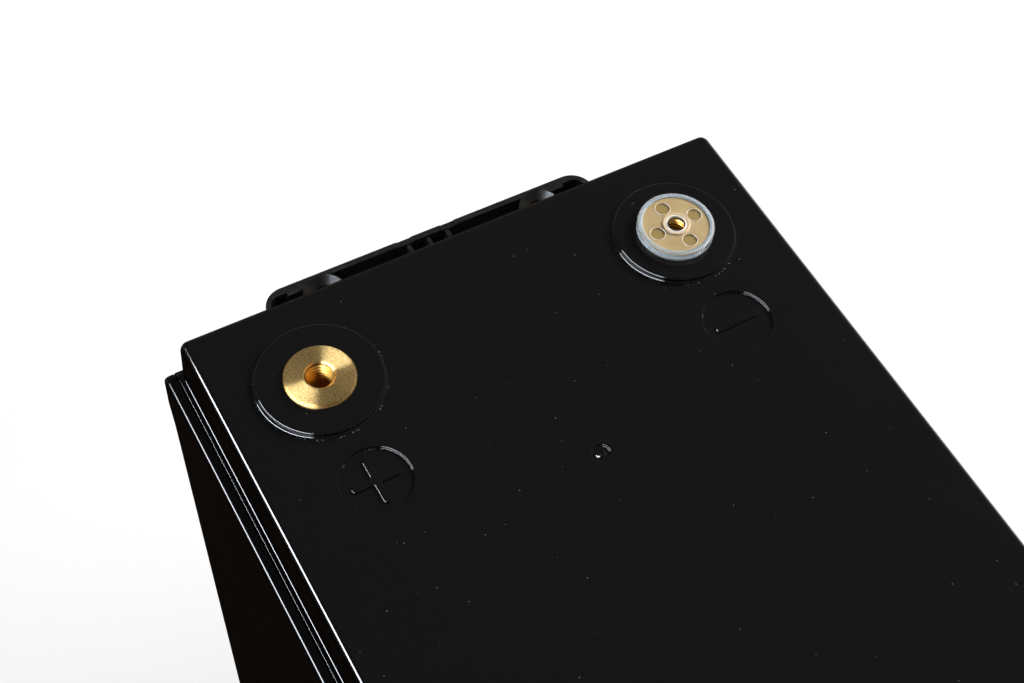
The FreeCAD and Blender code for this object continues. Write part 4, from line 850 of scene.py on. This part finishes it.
# Woven glass under clear resin, with a thread every 0.6 mm.
fibre, tree, shader, here = new_material("glass_fibre_sheet")
threads = [add(tree, "TexWave", {"Vector": here, "Scale": 1 / 0.0006 / 6.28}, bands_direction=way)
           for way in ("Y", "Z")]
weave = add(tree, "Math", {0: threads[0].outputs["Fac"], 1: threads[1].outputs["Fac"]},
            operation="MULTIPLY")
tint = add(tree, "Mix", {0: weave, 6: "#b9c383", 7: "#ccd39b"}, data_type="RGBA")
feed(shader, {"Base Color": tint, "Roughness": 0.45})

# Aluminium with cutter tracks 1.5 mm apart and stainless steel with fine rolling lines, both drawn out
# along the piece.
milled = clouded("milled_aluminium", 1.0, 4.0, "#c9cccf", "#dfe1e3", (0.25, 0.45), {"Metallic": 1.0},
                 (20.0, 20.0, 700.0))
band = clouded("rolled_stainless_band", 1.0, 3.0, "#a9abad", "#c4c6c7", 0.32, {"Metallic": 1.0},
               (15.0, 15.0, 3000.0))

dress(film, "cell_1", "cell_2", "cell_3", "cell_4")
dress(fibre, "cell_spacer_1", "cell_spacer_2", "cell_spacer_3", "bar_insulator")
dress(milled, "end_plate_near", "end_plate_far", "bms_heat_plate")
dress(band, "strap_low", "strap_high")


# Bars, lugs and leads
# Bare rolled copper bars join the cells, and tinned copper lugs end the two silicone leads. The copper
# has dulled a little in patches; the silicone is soft and nearly matt.

copper = clouded("rolled_copper", 0.008, 5.0, "#c9764f", "#e09a72", (0.2, 0.42), {"Metallic": 1.0})
tinned = clouded("tinned_copper", 0.003, 3.0, "#bfc0bd", "#d8d8d4", 0.3, {"Metallic": 1.0})
dress(copper, "busbar_1", "busbar_2", "busbar_3", "tab_positive", "bar_negative", "bms_copper_blocks")
dress(tinned, "lug_positive_terminal", "lug_positive_tab", "lug_negative_terminal", "lug_negative_board")
for node, name, dark, light in (("lead_positive", "red_silicone", "#a01613", "#b4211c"),
                                ("lead_negative", "black_silicone", "#161616", "#202020"),
                                ("balance_wires", "wire_insulation", "#303030", "#3c3c3c")):
    dress(clouded(name, 0.001, 2.0, dark, light, 0.55, {"IOR": 1.43}), node)


# Protection board
# A green epoxy-glass board on brass standoffs, with two rows of moulded power transistors and a white
# nylon connector for the balance wires.

# Solder mask glossy over the board, epoxy dull with its filler, nylon satin.
dress(clouded("green_solder_mask", 0.004, 4.0, "#0b4f2c", "#136a3c", 0.25), "bms_board")
dress(clouded("moulded_epoxy", 0.0004, 2.0, "#1a1a1b", "#2b2b2c", 0.55), "bms_transistors")
dress(clouded("moulded_white_nylon", 0.005, 2.0, "#dedbd0", "#ebe9e2", 0.4, {"IOR": 1.53}),
      "balance_connector")
dress(brass, "bms_standoffs")


# Foam
# Closed-cell polyethylene foam pads, cut from sheet, that hold the pack still in the case: grey-black,
# dull and full of pores.

foam, tree, shader, here = new_material("closed_cell_foam")
# Pores of about 0.8 mm, painted darker towards their middles as painted shade in their hollows.
pores = add(tree, "TexVoronoi", {"Vector": here, "Scale": 1 / 0.0008})
tint = add(tree, "Mix", {0: pores, 6: "#2c2c2c", 7: "#464646"}, data_type="RGBA")
relief = add(tree, "Bump", {"Height": pores, "Strength": 0.5, "Distance": 0.0003})
feed(shader, {"Base Color": tint, "Normal": relief, "Roughness": 0.9})

dress(foam, "foam_base", "foam_side_left", "foam_side_right", "foam_far_end", "foam_top")


# Floor, light and camera
# Not part of the battery: a plain pale studio floor, one large soft light behind its right side, a long
# narrow one low on its left that draws the bright edge lines, and the camera of the photograph.

FLOOR_HALF = 30.0
KEY_AT, KEY_TOWARDS = (-0.25, 1.45, 1.15), (0, 0, 0.15)
CAMERA_AT = Vector((0.094408, -0.140368, 0.578991))
CAMERA_AIM = Vector((-0.109293, -0.003675, 0.217))
CAMERA_ROLL = 5.9702
# The lens in pixels, fitted to the photograph, and the photograph's width.
LENS_PX, PHOTO_WIDTH_PX = 1688.9, 1024
SENSOR_WIDTH = 36.0

# Painted card, matt and white. To the camera, in mirrors and through the cap it mostly glows, so that
# about a third of its shadow is kept.
floor_card, tree, shader, here = new_material("painted_floor_card")
grain = add(tree, "TexNoise", {"Vector": here, "Scale": 1 / 0.05, "Detail": 3.0})
tint = add(tree, "Mix", {0: grain, 6: "#f6f6f5", 7: "#f8f8f8"}, data_type="RGBA")
feed(shader, {"Base Color": tint, "Roughness": 0.9, "Specular IOR Level": 0.0})
path = add(tree, "LightPath").outputs
seen = add(tree, "Math", {0: path["Is Camera Ray"], 1: path["Is Glossy Ray"]}, operation="MAXIMUM")
seen = add(tree, "Math", {0: seen, 1: path["Is Transmission Ray"]}, operation="MAXIMUM")
seen = add(tree, "Math", {0: seen, 1: 0.7}, operation="MULTIPLY")
white = add(tree, "Emission", {"Color": "#ffffff", "Strength": 1.0})
card = add(tree, "MixShader", {0: seen, 1: shader, 2: white})
feed(tree.nodes["Material Output"], {"Surface": card})
bm = bmesh.new()
bmesh.ops.create_grid(bm, x_segments=1, y_segments=1, size=FLOOR_HALF)
mesh = bpy.data.meshes.new("floor")
bm.to_mesh(mesh)
bm.free()
mesh.materials.append(floor_card)
floor = bpy.data.objects.new("floor", mesh)
bpy.context.scene.collection.objects.link(floor)


def soft_light(name, at, towards, width, height, power, colour="#ffffff"):
    light = bpy.data.lights.new(name, "AREA")
    light.shape = "RECTANGLE"
    light.size, light.size_y = width, height
    light.energy = power
    light.color = linear(colour)[:3]
    made = bpy.data.objects.new(name, light)
    made.location = at
    made.rotation_euler = (Vector(at) - Vector(towards)).to_track_quat("Z", "Y").to_euler()
    bpy.context.scene.collection.objects.link(made)
    return made


# The big light comes twice: once for what it lights, and once, weaker, for its reflections.
key = soft_light("key_softbox", KEY_AT, KEY_TOWARDS, 1.5, 0.9, 70.0)
key.visible_glossy = False
glow = soft_light("side_reflector", KEY_AT, KEY_TOWARDS, 1.5, 0.9, 12.0, "#f0ebff")
glow.visible_diffuse = False
edge = soft_light("edge_strip", (0.03, -0.72, 0.78), (0.03, -0.08, 0.2), 1.42, 0.22, 42.0, "#eef5ff")
edge.visible_diffuse = False

# The studio is dim above and paler towards the horizon, and white where the camera looks straight at
# it or through the clear cap.
world = bpy.data.worlds.new("studio")
bpy.context.scene.world = world
world.use_nodes = True
tree = world.node_tree
aim = add(tree, "SeparateXYZ", {"Vector": add(tree, "TexCoord").outputs["Generated"]})
climb = add(tree, "MapRange", {"Value": aim.outputs["Z"], "From Min": 0.02, "From Max": 0.35})
dim = add(tree, "Mix", {0: climb, 6: (0.35, 0.35, 0.35, 1.0), 7: (0.085, 0.085, 0.09, 1.0)},
          data_type="RGBA")
path = add(tree, "LightPath").outputs
seen = add(tree, "Math", {0: path["Is Camera Ray"], 1: path["Is Transmission Ray"]}, operation="MAXIMUM")
sky = add(tree, "Mix", {0: seen, 6: dim, 7: (1.0, 1.0, 1.0, 1.0)}, data_type="RGBA")
feed(tree.nodes["Background"], {"Color": sky})

lens = bpy.data.cameras.new("camera")
lens.sensor_width = SENSOR_WIDTH
lens.lens = SENSOR_WIDTH * LENS_PX / PHOTO_WIDTH_PX
lens.clip_start, lens.clip_end = 0.01, 60.0
camera = bpy.data.objects.new("camera", lens)
look = (CAMERA_AIM - CAMERA_AT).to_track_quat("-Z", "Y").to_matrix().to_4x4()
roll = Matrix.Rotation(math.radians(CAMERA_ROLL), 4, "Z")
camera.matrix_world = Matrix.Translation(CAMERA_AT) @ look @ roll
bpy.context.scene.collection.objects.link(camera)
bpy.context.scene.camera = camera
bpy.context.scene.view_settings.view_transform = "Standard"
